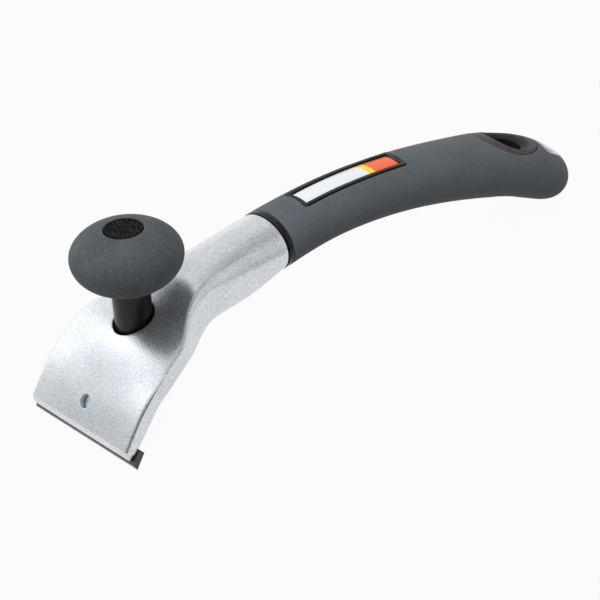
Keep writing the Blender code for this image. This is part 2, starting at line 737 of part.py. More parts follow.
def make_handle():
    """Hard core over the tang, soft grip over the core, and the collar in front of them."""
    collar_rings = [
        handle_ring(place, COLLAR_INSET)
        for place in np.linspace(HANDLE_START + GAP, HANDLE_START + COLLAR_WIDTH, 3)
    ]
    collar = add_part("front_collar", loft_mesh("front_collar", collar_rings), PLASTIC)
    tang_hole = add_cutter("tang hole", tang_body("tang hole", GAP, HANDLE_START - TANG_ROOT))
    boolean(collar, tang_hole)

    core = add_part("handle_core", handle_body("handle_core", GRIP_START, GRIP_THICKNESS + GAP), PLASTIC)
    pad = handle_strip(
        "label pad", FRAME_START + GAP, FRAME_END - GAP, FRAME_HALF - GAP,
        GRIP_THICKNESS + CUT_MARGIN, FRAME_SINK, GAP,
    )
    boolean(core, add_cutter("label pad", pad), 'UNION')
    recess = handle_strip(
        "label recess", LABEL_START - GAP, LABEL_START + LABEL_LENGTH + GAP, LABEL_WIDTH / 2 + GAP,
        LABEL_FLOOR, -CUT_MARGIN, GAP,
    )
    boolean(core, add_cutter("label recess", recess))
    boolean(core, tang_hole)

    grip = add_part("handle_grip", handle_body("handle_grip", GRIP_START, 0.0), RUBBER)
    hollow = add_cutter("grip hollow", handle_body("grip hollow", HANDLE_START, GRIP_THICKNESS))
    boolean(grip, hollow)
    window = handle_strip(
        "label window", FRAME_START, FRAME_END, FRAME_HALF,
        GRIP_THICKNESS + CUT_MARGIN, -CUT_MARGIN, GAP,
    )
    boolean(grip, add_cutter("label window", window))

    label = handle_strip(
        "label_plate", LABEL_START, LABEL_START + LABEL_LENGTH, LABEL_WIDTH / 2,
        LABEL_TOP + LABEL_THICKNESS, LABEL_TOP, GAP,
    )
    add_part("label_plate", label, PRINT)
    return core, grip


def surface_above_hole(along, across, side):
    """Height of the handle's upper or lower surface along the hole's axis, at a place round it."""
    axis_lean = handle_lean(HOLE_X)
    place = HOLE_X + along
    for _ in range(12):
        lean = handle_lean(place)
        half_width, half_height = handle_halves(place)
        rise = half_height * math.sqrt(1 - (across / half_width) ** 2)
        x = place + side * rise * math.sin(lean) - HOLE_X
        z = handle_height(place) + side * rise * math.cos(lean) - handle_height(HOLE_X)
        place += along - (x * math.cos(axis_lean) - z * math.sin(axis_lean))
    return x * math.sin(axis_lean) + z * math.cos(axis_lean)


def make_hang_hole(core, grip):
    """Bezel of the hang hole: an oval above and a flange below in the soft grip, a tube through the core."""
    reach = handle_half_height(HOLE_X) + CUT_MARGIN
    tube_radius = HOLE_RADIUS + BEZEL_WALL
    core_hole = rod_mesh("core hole", tube_radius + GAP, -reach, reach)
    boolean(core, add_cutter("core hole", core_hole, hole_axis))
    flange_hole = rod_mesh("flange hole", FLANGE_RADIUS + GAP, -reach, 0.0)
    boolean(grip, add_cutter("flange hole", flange_hole, hole_axis))
    edge = oval(BEZEL_HALF_LENGTH + GAP, BEZEL_HALF_WIDTH + GAP, ROUND_STEPS)
    levels = (0.0, reach)
    rings = [[(along + BEZEL_SHIFT, across, level) for along, across in edge] for level in levels]
    boolean(grip, add_cutter("bezel hole", loft_mesh("bezel hole", rings), hole_axis))

    # Each row is (side, shift along, half length, half width, depth under the handle's surface)
    bezel = (BEZEL_SHIFT, BEZEL_HALF_LENGTH, BEZEL_HALF_WIDTH)
    profile = [
        (1, 0.0, HOLE_RADIUS, HOLE_RADIUS, MOUTH_DEPTH),
        (1, MOUTH_SHIFT, MOUTH_HALF_LENGTH, MOUTH_HALF_WIDTH, BEZEL_INSET),
        (1, *bezel, BEZEL_INSET),
        (1, *bezel, GRIP_THICKNESS),
        (1, 0.0, tube_radius, tube_radius, GRIP_THICKNESS),
        (-1, 0.0, tube_radius, tube_radius, GRIP_THICKNESS),
        (-1, 0.0, FLANGE_RADIUS, FLANGE_RADIUS, GRIP_THICKNESS),
        (-1, 0.0, FLANGE_RADIUS, FLANGE_RADIUS, BEZEL_INSET),
        (-1, 0.0, FLANGE_RADIUS - FLANGE_LIP, FLANGE_RADIUS - FLANGE_LIP, BEZEL_INSET),
        (-1, 0.0, HOLE_RADIUS, HOLE_RADIUS, FLANGE_DEPTH),
    ]
    shape = bmesh.new()
    rows = []
    for turn in np.radians(np.arange(ROUND_STEPS) * 360.0 / ROUND_STEPS):
        row = []
        for side, shift, half_length, half_width, depth in profile:
            along = shift + half_length * math.cos(turn)
            across = half_width * math.sin(turn)
            height = surface_above_hole(along, across, side) - side * depth
            row.append(shape.verts.new((along, across, height)))
        rows.append(row)
    for near, far in zip(rows, rows[1:] + rows[:1]):
        for i in range(len(profile)):
            j = (i + 1) % len(profile)
            shape.faces.new((near[i], near[j], far[j], far[i]))
    mesh = finish_mesh(shape, "hang_hole_bezel")
    add_part("hang_hole_bezel", mesh, BEZEL_PLASTIC, hole_axis)


def make_hammer_cap(core, grip):
    """Metal cap let into the upper back of the butt, held by a spigot in the core."""
    pocket = cap_prism("cap pocket", GAP, -CAP_DEPTH - GAP)
    boolean(core, pocket)
    boolean(grip, pocket)
    socket = rod_mesh("spigot bore", SPIGOT_RADIUS + GAP, -CAP_DEPTH - SPIGOT_LENGTH - 2 * GAP, 0.0)
    boolean(core, add_cutter("spigot bore", socket, cap_axis))

    cap = add_part("hammer_cap", handle_body("hammer_cap", DOME_START - CAP_RISE, -CAP_PROUD), STEEL)
    boolean(cap, cap_prism("cap form", 0.0, -CAP_DEPTH), 'INTERSECT')
    reach = CAP_TOP_WIDTH
    face = box_mesh("strike face", (-reach, -reach, -CAP_FLAT), (reach, reach, reach))
    boolean(cap, add_cutter("strike face", face, cap_axis))
    spigot = rod_mesh("spigot", SPIGOT_RADIUS, -CAP_DEPTH - SPIGOT_LENGTH, -CAP_DEPTH / 2)
    boolean(cap, add_cutter("spigot", spigot, cap_axis), 'UNION')


make_blade()
make_clamp()
make_clamp_screw()
make_head()
make_knob()
handle_core, handle_grip = make_handle()
make_hang_hole(handle_core, handle_grip)
make_hammer_cap(handle_core, handle_grip)
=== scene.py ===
"""Looks of the pull scraper: cast head, carbide blade, palm knob and soft-grip handle.

Every shape is worked out in millimetres, with x measured back from the cutting
edge, y across the tool and z up from the table, and is turned into the part's
own frame in metres when its piece is made.
"""
import math

import bmesh
import bpy
import numpy as np
from mathutils import Matrix


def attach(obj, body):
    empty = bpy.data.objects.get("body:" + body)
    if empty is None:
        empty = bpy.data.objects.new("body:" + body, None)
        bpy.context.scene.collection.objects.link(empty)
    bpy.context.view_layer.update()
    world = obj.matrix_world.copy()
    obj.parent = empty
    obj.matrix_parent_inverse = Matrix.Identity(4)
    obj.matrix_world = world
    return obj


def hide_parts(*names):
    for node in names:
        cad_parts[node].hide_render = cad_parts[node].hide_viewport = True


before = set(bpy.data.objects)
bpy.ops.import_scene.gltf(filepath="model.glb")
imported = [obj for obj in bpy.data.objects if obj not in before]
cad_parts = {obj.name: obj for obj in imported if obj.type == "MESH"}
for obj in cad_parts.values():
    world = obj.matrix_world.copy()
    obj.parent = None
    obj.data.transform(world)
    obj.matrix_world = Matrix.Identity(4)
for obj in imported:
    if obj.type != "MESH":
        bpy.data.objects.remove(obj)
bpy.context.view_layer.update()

MM = 0.001
EDGE_X = -116.6
GAP = 0.3

# Blade and head, along and above the plane of the blade's underside
BLADE_SLOPE = math.radians(53.0)
BLADE_WIDTH = 63.5
BLADE_DEPTH = 7.0
BLADE_THICKNESS = 1.6
BLADE_BEVEL = 0.9
SEAT_HEIGHT = BLADE_THICKNESS + GAP
REGISTER_STEP = 0.8
UNDERSIDE = SEAT_HEIGHT - REGISTER_STEP
HEAD_THICKNESS = 5.6
HEAD_TOP = SEAT_HEIGHT + HEAD_THICKNESS
HEAD_WIDTH = 59.7
HEAD_SETBACK = 2.0
HEAD_CORNER = 1.6
NOSE_LENGTH = 2.8
NOSE_LIP = 0.9
NOSE_TAPER = 0.8
NOSE_TURN = math.radians(65.0)
NOSE_CROWN = 0.9
NOSE_END = HEAD_SETBACK + NOSE_LENGTH
FLAT_LENGTH = 24.8
FLAT_FALL = 0.05
FLAT_BULGE = 0.3
SKIRT_DROP = 2.0
NECK_WIDTH = 28.2

# Clamp and its screw
CLAMP_WIDTH = 50.0
CLAMP_FRONT = 2.8
CLAMP_LENGTH = 20.5
CLAMP_THICKNESS = 2.6
CLAMP_NOSE = 1.2
CLAMP_FOOT = -GAP - CLAMP_THICKNESS
SCREW_PLACE = 13.6
SCREW_PITCH = 0.8
SCREW_RADIUS = 2.5
SCREW_RECESS = 1.9
SCREW_HEAD_RADIUS = 4.6
SCREW_FACE_RADIUS = 3.7
SCREW_HEAD_HEIGHT = 3.0
SLOT_WIDTH = 1.2
SLOT_DEPTH = 1.5
LOCK_WASHER_RADIUS = 4.5
LOCK_WASHER_THICKNESS = 1.2
LOCK_WASHER_FOOT = CLAMP_FOOT - GAP - LOCK_WASHER_THICKNESS
SCREW_SHOULDER = LOCK_WASHER_FOOT - GAP

# Knob, along its leaning axis
KNOB_X = 27.4
KNOB_LEAN = math.radians(2.6)
KNOB_RADIUS = 21.6
KNOB_EQUATOR = 66.2
KNOB_CROWN = 12.4
KNOB_BELLY = 13.8
KNOB_RUBBER = 5.0
KNOB_CAP_RADIUS = 7.3
KNOB_CAP_DEPTH = 4.0
KNOB_CAP_SINK = 0.1
STEM_TOP_RADIUS = 7.6
STEM_FOOT_RADIUS = 7.15
SOCKET_CLEARANCE = 0.85
SOCKET_RADIUS = STEM_FOOT_RADIUS + SOCKET_CLEARANCE
SOCKET_FLOOR = 31.5
STUD_RADIUS = 4.0
STUD_TOP = 56.0
STUD_PITCH = 1.25
BOSS_RADIUS = 9.0
BOSS_FOOT = 22.0
KNOB_WASHER_RADIUS = 6.6
KNOB_WASHER_THICKNESS = 1.2

# Handle
HANDLE_START = 92.1
HANDLE_END = 232.1
DOME_LENGTH = 19.9
DOME_START = HANDLE_END - DOME_LENGTH
DOME_POWER = 3.55
COLLAR_WIDTH = 2.5
COLLAR_INSET = 0.1
NECK_INSET = 0.35
NECK_EDGE = 0.5
GRIP_START = HANDLE_START + COLLAR_WIDTH + GAP
GRIP_THICKNESS = 2.4
GRIP_EDGE = 0.7
SOFT_EDGE = 0.35
LABEL_START = 109.5
LABEL_LENGTH = 44.9
LABEL_WIDTH = 9.2
LABEL_THICKNESS = 0.4
YELLOW_START = 140.2
ORANGE_START = 143.2
FRAME_BORDER = 2.1
FRAME_SINK = 0.7
LABEL_SINK = 0.2
FRAME_MIDDLE = LABEL_START + LABEL_LENGTH / 2
FRAME_REACH = LABEL_LENGTH / 2 + FRAME_BORDER
FRAME_HALF = LABEL_WIDTH / 2 + FRAME_BORDER
HOLE_SETBACK = 6.6
HOLE_X = DOME_START - HOLE_SETBACK
HOLE_RADIUS = 7.8
BEZEL_HALF_LENGTH = 14.4
BEZEL_HALF_WIDTH = 11.9
BEZEL_SHIFT = 1.0
MOUTH_HALF_LENGTH = 10.4
MOUTH_HALF_WIDTH = 10.2
MOUTH_SHIFT = 2.1
MOUTH_DEPTH = 2.8
FLANGE_RADIUS = 10.4
FLANGE_LIP = 2.0
FLANGE_DEPTH = 0.6
BEZEL_WALL = 1.7
BEZEL_INSET = 0.15

# Hammer cap on the butt
CAP_BACK = 1.2
CAP_ABOVE = 12.1
CAP_TILT = math.radians(40.0)
CAP_FLAT = 0.45
CAP_PROUD = 0.1


def smooth_curve(knots, values):
    """Natural cubic spline through rows of values: its second slopes solve one linear system."""
    knots = np.asarray(knots, float)
    values = np.asarray(values, float)
    step = np.diff(knots)
    column = step.reshape(-1, *[1] * (values.ndim - 1))
    rise = np.diff(values, axis=0) / column
    matrix = np.eye(len(knots))
    inner = np.arange(1, len(knots) - 1)
    matrix[inner, inner - 1] = step[:-1]
    matrix[inner, inner] = 2 * (step[:-1] + step[1:])
    matrix[inner, inner + 1] = step[1:]
    right = np.zeros_like(values)
    right[1:-1] = 6 * np.diff(rise, axis=0)
    bend = np.linalg.solve(matrix, right)

    def value(place):
        place = np.asarray(place, float)
        i = np.clip(np.searchsorted(knots, place) - 1, 0, len(knots) - 2)
        width = step[i]
        a = (knots[i + 1] - place) / width
        if values.ndim > 1:
            a = a[..., None]
            width = width[..., None]
        b = 1 - a
        curved = (a ** 3 - a) * bend[i] + (b ** 3 - b) * bend[i + 1]
        return a * values[i] + b * values[i + 1] + curved * width ** 2 / 6

    return value


def sheet(points, wrap_rows=False, wrap_columns=False):
    """A grid of points, (rows, columns, 3), as a list of points and the quads between neighbours."""
    rows, columns = points.shape[:2]
    index = np.arange(rows * columns).reshape(rows, columns)
    if wrap_rows:
        index = np.concatenate([index, index[:1]])
    if wrap_columns:
        index = np.concatenate([index, index[:, :1]], axis=1)
    quads = np.stack([index[:-1, :-1], index[:-1, 1:], index[1:, 1:], index[1:, :-1]], axis=-1)
    return points.reshape(-1, 3), quads.reshape(-1, 4)


def eased(corners, radius, steps=6):
    """Round a closed outline: each arc is the rational quadratic of a corner and its touch points."""
    here = np.asarray(corners, float)
    radius = np.broadcast_to(np.asarray(radius, float), len(here))
    back = np.roll(here, 1, axis=0) - here
    ahead = np.roll(here, -1, axis=0) - here
    back /= np.linalg.norm(back, axis=1, keepdims=True)
    ahead /= np.linalg.norm(ahead, axis=1, keepdims=True)
    half = np.arccos(np.clip((back * ahead).sum(axis=1), -1, 1)) / 2
    reach = (radius / np.tan(half))[:, None]
    start = (here + back * reach)[:, None]
    stop = (here + ahead * reach)[:, None]
    s = np.linspace(0, 1, steps)[None, :, None]
    middle = 2 * np.sin(half)[:, None, None] * s * (1 - s)
    arc = (1 - s) ** 2 * start + middle * here[:, None] + s ** 2 * stop
    return (arc / ((1 - s) ** 2 + middle + s ** 2)).reshape(-1, 2)


def stretch(*marks, step):
    """Evenly spread places between marks, no further apart than a step, with every mark among them."""
    runs = [
        np.linspace(low, high, max(2, int(math.ceil((high - low) / step)) + 1))[:-1]
        for low, high in zip(marks, marks[1:])
    ]
    return np.concatenate(runs + [[marks[-1]]])


class Axis:
    """A line in the tool's middle plane, through a place and leaning toward the handle by an angle."""

    def __init__(self, x, z, lean):
        self.origin = np.array([x, 0.0, z])
        self.up = np.array([math.sin(lean), 0.0, math.cos(lean)])
        self.side = np.array([math.cos(lean), 0.0, -math.sin(lean)])

    def point(self, along, across, height):
        """Origin plus the three coordinates along the axis's own directions."""
        along, across, height = np.broadcast_arrays(along, across, height)
        place = self.origin + along[..., None] * self.side + height[..., None] * self.up
        return place + across[..., None] * np.array([0.0, 1.0, 0.0])

    def flat(self, points):
        """Coordinates (along, across) of points seen down the axis, and their heights on it."""
        offset = points - self.origin
        return np.stack([offset @ self.side, offset[..., 1]], axis=-1), offset @ self.up

    def turned(self, profile, steps=96, wave=None):
        """Carry a closed profile of (radius, height) round the axis; a wave changes the radius."""
        profile = np.asarray(profile, float)
        turn = (np.arange(steps) * 2 * math.pi / steps)[:, None]
        radius = profile[None, :, 0] * np.ones_like(turn)
        height = profile[None, :, 1] * np.ones_like(turn)
        if wave is not None:
            radius = radius + wave(turn, radius, height)
        points = self.point(radius * np.cos(turn), radius * np.sin(turn), height)
        return sheet(points, wrap_rows=True, wrap_columns=True)


def blade_place(along, above):
    """Side-view place of a point along the blade and above its underside."""
    x = along * math.cos(BLADE_SLOPE) - above * math.sin(BLADE_SLOPE)
    z = along * math.sin(BLADE_SLOPE) + above * math.cos(BLADE_SLOPE)
    return np.stack(np.broadcast_arrays(x, z), axis=-1)


BLADE_AXIS = Axis(0.0, 0.0, -BLADE_SLOPE)
SCREW_AXIS = Axis(*blade_place(SCREW_PLACE, 0.0), -BLADE_SLOPE)
KNOB_AXIS = Axis(KNOB_X, 0.0, KNOB_LEAN)

# Handle: share of its length, height, lean in degrees, half width and half height
HANDLE_POINTS = np.array([
    (0.0, 41.85, 8.4, 15.4, 10.70),
    (0.168, 42.9, 7.1, 14.1, 10.55),
    (0.346, 40.9, 8.5, 14.1, 10.65),
    (0.522, 36.0, 12.9, 14.3, 11.20),
    (0.7, 28.6, 17.9, 15.8, 11.80),
    (0.82, 22.1, 25.6, 16.5, 12.25),
    (0.94, 11.6, 34.0, 16.7, 11.50),
    (1.0, 4.9, 39.1, 15.8, 11.80),
])
handle_fields = smooth_curve(
    HANDLE_START + HANDLE_POINTS[:, 0] * (HANDLE_END - HANDLE_START), HANDLE_POINTS[:, 1:]
)


def handle_section(place):
    """Height, lean in radians, half width and half height of the handle at a place."""
    height, lean, half_width, half_height = np.moveaxis(handle_fields(place), -1, 0)
    return height, np.radians(lean), half_width, half_height


# Butt: the section shrinks along a superellipse, tabulated by the distance run over it
BUTT_HALF = 14.0
BUTT_TURN = np.linspace(0.0, math.pi / 2, 2000)
BUTT_SHARE = np.sin(BUTT_TURN) ** (2 / DOME_POWER)
BUTT_DRAW = np.cos(BUTT_TURN) ** (2 / DOME_POWER)
BUTT_DRAW[-1] = 0.0
BUTT_RUN = np.concatenate([
    [0.0], np.cumsum(np.hypot(np.diff(BUTT_SHARE) * DOME_LENGTH, np.diff(BUTT_DRAW) * BUTT_HALF))
])
RUN_END = DOME_START + BUTT_RUN[-1]


def butt(run):
    """Place along the handle and shrink of its section at a distance run over its surface."""
    over = np.asarray(run, float) - DOME_START
    share = np.interp(over, BUTT_RUN, BUTT_SHARE)
    place = np.where(over > 0, DOME_START + DOME_LENGTH * share, run)
    return place, np.interp(over, BUTT_RUN, BUTT_DRAW)


def handle_surface(run, turn, inset=0.0):
    """An ellipse in the leaning section plane, shrunk over the butt, at a turn up from its right side."""
    place, draw = butt(run)
    height, lean, half_width, half_height = handle_section(place)
    across = (half_width - inset) * draw * np.cos(turn)
    up = (half_height - inset) * draw * np.sin(turn)
    x = place + up * np.sin(lean)
    z = height + up * np.cos(lean)
    return np.stack(np.broadcast_arrays(x, across, z), axis=-1)


def handle_up(run):
    """Upward direction of the section plane."""
    lean = handle_section(butt(run)[0])[1]
    return np.stack([np.sin(lean), np.zeros_like(lean), np.cos(lean)], axis=-1)


def turn_at(run, across):
    """Turn of the upper surface point that lies so far across."""
    place, draw = butt(run)
    return np.arccos(np.clip(across / (handle_section(place)[2] * draw), -1, 1))


def handle_normal(run, turn):
    """Outward direction of the handle surface, from the cross product of its two slopes."""
    step = 0.02
    forward = handle_surface(run + step, turn) - handle_surface(run - step, turn)
    around = handle_surface(run, turn + step) - handle_surface(run, turn - step)
    normal = np.cross(around, forward)
    normal *= np.sign((normal * handle_up(run)).sum(axis=-1) * np.sin(turn) + 1e-9)[..., None]
    return normal / np.linalg.norm(normal, axis=-1, keepdims=True)


def edge_turns(count):
    """Quarter turn of an edge rounding in even steps."""
    return np.linspace(0, math.pi / 2, count)


def rounding(edge):
    """Spread and drop of the rows that turn over an edge into a hole."""
    return [(edge * (1 - math.sin(bend)), edge * (1 - math.cos(bend))) for bend in edge_turns(5)[1:]]


def closed_rim(ring, outward, edge, steps, waist):
    """Round an open rim over its edge, then draw it in by a waist to its middle."""
    centre = ring.mean(axis=0)
    inward = centre - ring
    inward /= np.linalg.norm(inward, axis=-1, keepdims=True)
    bend = edge_turns(steps)[:, None, None]
    over = ring + inward * edge * (1 - np.cos(bend)) + outward * edge * np.sin(bend)
    share = np.array([0.0, waist, 1.0])[:, None, None]
    return np.concatenate([over, over[-1] + (centre + outward * edge - over[-1]) * share])


def closed_tube(points, cores):
    """A tube of rings, with each end closed onto a point."""
    ends = [np.stack([ring, np.broadcast_to(core, ring.shape)]) for ring, core in zip(points[[0, -1]], cores)]
    return [sheet(rows, wrap_columns=True) for rows in [points] + ends]


def drawn_in(surface, u, v, rim_u, rim_v, rows):
    """Rows of surface points from one loop of parameters in to another."""
    share = np.linspace(0, 1, rows)[:, None]
    return surface(u + (rim_u - u) * share, v + (rim_v - v) * share)


def settle(surface, axis, target, u, v, steps=14):
    """Newton steps on two parameters until the surface point, seen down the axis, falls on the target."""
    step = 0.01
    for _ in range(steps):
        miss = axis.flat(surface(u, v))[0] - target
        by_u = (axis.flat(surface(u + step, v))[0] - axis.flat(surface(u - step, v))[0]) / (2 * step)
        by_v = (axis.flat(surface(u, v + step))[0] - axis.flat(surface(u, v - step))[0]) / (2 * step)
        size = by_u[..., 0] * by_v[..., 1] - by_u[..., 1] * by_v[..., 0]
        u = u - (miss[..., 0] * by_v[..., 1] - miss[..., 1] * by_v[..., 0]) / size
        v = v - (by_u[..., 0] * miss[..., 1] - by_u[..., 1] * miss[..., 0]) / size
    return u, v


def pierced(surface, u, v, holes, closing):
    """A closed surface over a grid of u and wrapping v, with a block of cells left out for every hole.

    A hole is a block (low u, high u, low v, high v) and a function that carries
    the loop of grid points round the block inward, row by row, down into the
    hole. closing carries the first and the last ring to a closed end.
    """
    grid_u, grid_v = np.meshgrid(u, v, indexing="ij")
    points = surface(grid_u, grid_v)
    rows, columns = grid_u.shape
    kept = np.ones((rows - 1, columns), bool)
    parts = []
    for (low_u, high_u, low_v, high_v), carry in holes:
        i0, i1 = np.searchsorted(u, [low_u - 1e-6, high_u - 1e-6])
        j0, j1 = np.searchsorted(v, [low_v - 1e-6, high_v - 1e-6])
        kept[i0:i1, j0:j1] = False
        across = np.arange(j0, j1)
        along = np.arange(i0, i1)
        i = np.concatenate([np.full(j1 - j0, i0), along, np.full(j1 - j0, i1), along[::-1] + 1])
        j = np.concatenate([across, np.full(i1 - i0, j1), across[::-1] + 1, np.full(i1 - i0, j0)])
        p = 2 * (u[i] - low_u) / (high_u - low_u) - 1
        q = 2 * (v[j] - low_v) / (high_v - low_v) - 1
        parts.append(sheet(carry(u[i], v[j], p, q), wrap_columns=True))
    body_points, quads = sheet(points, wrap_columns=True)
    parts.append((body_points, quads[kept.reshape(-1)]))
    parts += [sheet(end, wrap_columns=True) for end in closing(points)]
    return parts


def rounded_square(p, q, corner_p, corner_q):
    """Nearest point of a rounded square to a point on the edge of the unit square, with oval corners."""
    core_p = np.clip(p, corner_p - 1, 1 - corner_p)
    core_q = np.clip(q, corner_q - 1, 1 - corner_q)
    off_p = (p - core_p) / corner_p
    off_q = (q - core_q) / corner_q
    size = np.hypot(off_p, off_q)
    return core_p + corner_p * off_p / size, core_q + corner_q * off_q / size


# Head: top x and z, bottom x and z, half width, crown, belly and roundness of its key sections
HALF_HEAD = HEAD_WIDTH / 2
HALF_NECK = NECK_WIDTH / 2
COLLAR = handle_section(HANDLE_START)
COLLAR_RISE = (COLLAR[3] - NECK_INSET) * np.array([math.sin(COLLAR[1]), math.cos(COLLAR[1])])
COLLAR_PLACE = np.array([HANDLE_START, COLLAR[0]])
FLAT_MIDDLE = (NOSE_END + FLAT_LENGTH) / 2
HEAD_KEYS = np.array([
    (*blade_place(NOSE_END, HEAD_TOP), *blade_place(NOSE_END, UNDERSIDE), HALF_HEAD, NOSE_CROWN, 0, 0),
    (
        *blade_place(FLAT_MIDDLE, HEAD_TOP + FLAT_BULGE),
        *blade_place(FLAT_MIDDLE, UNDERSIDE - SKIRT_DROP / 2), HALF_HEAD, 1.2, 0, 0,
    ),
    (
        *blade_place(FLAT_LENGTH, HEAD_TOP - FLAT_FALL), *blade_place(FLAT_LENGTH, UNDERSIDE - SKIRT_DROP),
        HALF_HEAD - 0.2, 2, 0.2, 0,
    ),
    (18.5, 34.6, 21.8, 24.4, HALF_HEAD - 0.8, 4.8, 1.8, 0.02),
    (25.0, 38.5, 27.8, 26.2, HALF_HEAD - 1.8, 4.8, 1.0, 0.12),
    (32.0, 40.5, 33.2, 27.7, HALF_HEAD - 3.6, 3.8, 0.5, 0.1),
    (40.0, 43.6, 41.3, 26.4, (HALF_HEAD + HALF_NECK) / 2 - 1.3, 1.2, 0, 0.2),
    (50.0, 48.2, 50.7, 28.5, HALF_NECK + 2.2, 0.5, 0, 0.4),
    (61.0, 49.55, 61.2, 27.8, HALF_NECK, 0, 0, 0.66),
    (75.0, 51.0, 74.4, 27.6, HALF_NECK, 0, 0, 0.84),
    (*(COLLAR_PLACE + COLLAR_RISE), *(COLLAR_PLACE - COLLAR_RISE), COLLAR[2] - NECK_INSET, 0, 0, 1),
])
HEAD_MIDDLES = (HEAD_KEYS[:, 0:2] + HEAD_KEYS[:, 2:4]) / 2
HEAD_RUN = np.concatenate([[0.0], np.cumsum(np.linalg.norm(np.diff(HEAD_MIDDLES, axis=0), axis=1))])
head_fields = smooth_curve(HEAD_RUN, HEAD_KEYS)
NOSE_RUN = 5.6
SEAT_END = BLADE_DEPTH + GAP
POCKET_END = CLAMP_FRONT + CLAMP_LENGTH + GAP
POCKET_HALF = CLAMP_WIDTH / 2 + GAP


def nose_fields(run):
    """Sections of the front edge: part of an ellipse from its lip up to a crease at the full thickness."""
    turn = np.clip(1 + run / NOSE_RUN, 0, 1) * NOSE_TURN
    along = HEAD_SETBACK + NOSE_LENGTH * (1 - np.cos(turn)) / (1 - math.cos(NOSE_TURN))
    share = np.sin(turn) / math.sin(NOSE_TURN)
    lip = SEAT_HEIGHT + NOSE_LIP
    top = blade_place(along, lip + (HEAD_TOP - lip) * share)
    bottom = blade_place(along, SEAT_HEIGHT)
    none = np.zeros_like(turn)
    rest = np.stack([HALF_HEAD - NOSE_TAPER * (1 - share), NOSE_CROWN * share, none, none], axis=-1)
    return np.concatenate([top, bottom, rest], axis=-1)


def head_surface(run, place):
    """Rounded plate blended toward an oval, round a section.

    Places 0, 10, 20 and 30 round it are right, top, left and bottom. The underside is
    raised to the blade's seat in front, and to the clamp's pocket behind it.
    """
    run, place = np.broadcast_arrays(np.asarray(run, float), np.asarray(place, float))
    fields = np.where(run[..., None] < 0, nose_fields(run), head_fields(np.maximum(run, 0)))
    spine = (fields[..., 0:2] - fields[..., 2:4]) / 2
    centre = (fields[..., 0:2] + fields[..., 2:4]) / 2
    width, crown, belly, roundness = np.moveaxis(fields[..., 4:8], -1, 0)
    roundness = np.clip(roundness, 0, 1)
    half = np.linalg.norm(spine, axis=-1)
    corner = np.minimum(HEAD_CORNER, 0.95 * half)
    quarter = 10 - np.abs(np.mod(place, 20) - 10)
    bend = np.clip((quarter - 1) / 4, 0, 1) * math.pi / 2
    plate_y = (width - corner) * (1 - np.clip((quarter - 5) / 5, 0, 1)) + corner * np.cos(bend)
    plate_v = (half - corner) * np.clip(quarter, 0, 1) + corner * np.sin(bend)
    y = plate_y + (width * np.cos(quarter * math.pi / 20) - plate_y) * roundness
    v = plate_v + (half * np.sin(quarter * math.pi / 20) - plate_v) * roundness
    upper = np.where(np.mod(place, 40) < 20, 1.0, -1.0)
    right = np.where(np.abs(np.mod(place, 40) - 20) > 10, 1.0, -1.0)
    drop = np.where(upper > 0, crown, belly) * (y / width) ** 2 * v / half
    v = (upper * v - drop) / half
    side = centre + v[..., None] * spine
    points = np.stack([side[..., 0], right * y, side[..., 1]], axis=-1)
    flat, above = BLADE_AXIS.flat(points)
    pocket = np.where((flat[..., 0] < POCKET_END) & (y < POCKET_HALF), UNDERSIDE, above)
    ceiling = np.where(flat[..., 0] < SEAT_END, SEAT_HEIGHT, pocket)
    return points + np.maximum(ceiling - above, 0)[..., None] * BLADE_AXIS.up


def bored(surface, axis, radius, edge, floor):
    """A round blind hole down an axis: rows draw in to its rounded mouth, then go down to a flat floor."""

    def carry(u, v, p, q):
        turn = np.arctan2(*axis.flat(surface(u, v))[0].T[::-1])
        ring = np.stack([np.cos(turn), np.sin(turn)])

        def row(reach, height):
            return axis.point(*(ring * reach), height)

        mouth = drawn_in(surface, u, v, *settle(surface, axis, (ring * (radius + edge)).T, u, v), 8)
        top = axis.flat(mouth[-1])[1]
        rows = [row(radius + spread, top - drop) for spread, drop in rounding(edge)]
        rows += [row(radius, top - edge + (floor - top + edge) * depth) for depth in (0.25, 0.6, 1.0)]
        rows += [row(radius * share, floor) for share in (0.6, 0.0)]
        return np.concatenate([mouth, rows])

    return carry


def head_ends(points):
    """Close the lip onto its own middle line, and round the back edge over before closing it."""
    lip = points[0].copy()
    middle = (lip + np.roll(lip[::-1], 1, axis=0)) / 2
    behind = np.array([math.cos(COLLAR[1]), 0.0, -math.sin(COLLAR[1])])
    return [np.stack([lip, middle]), closed_rim(points[-1], behind, NECK_EDGE, 5, 0.3)]


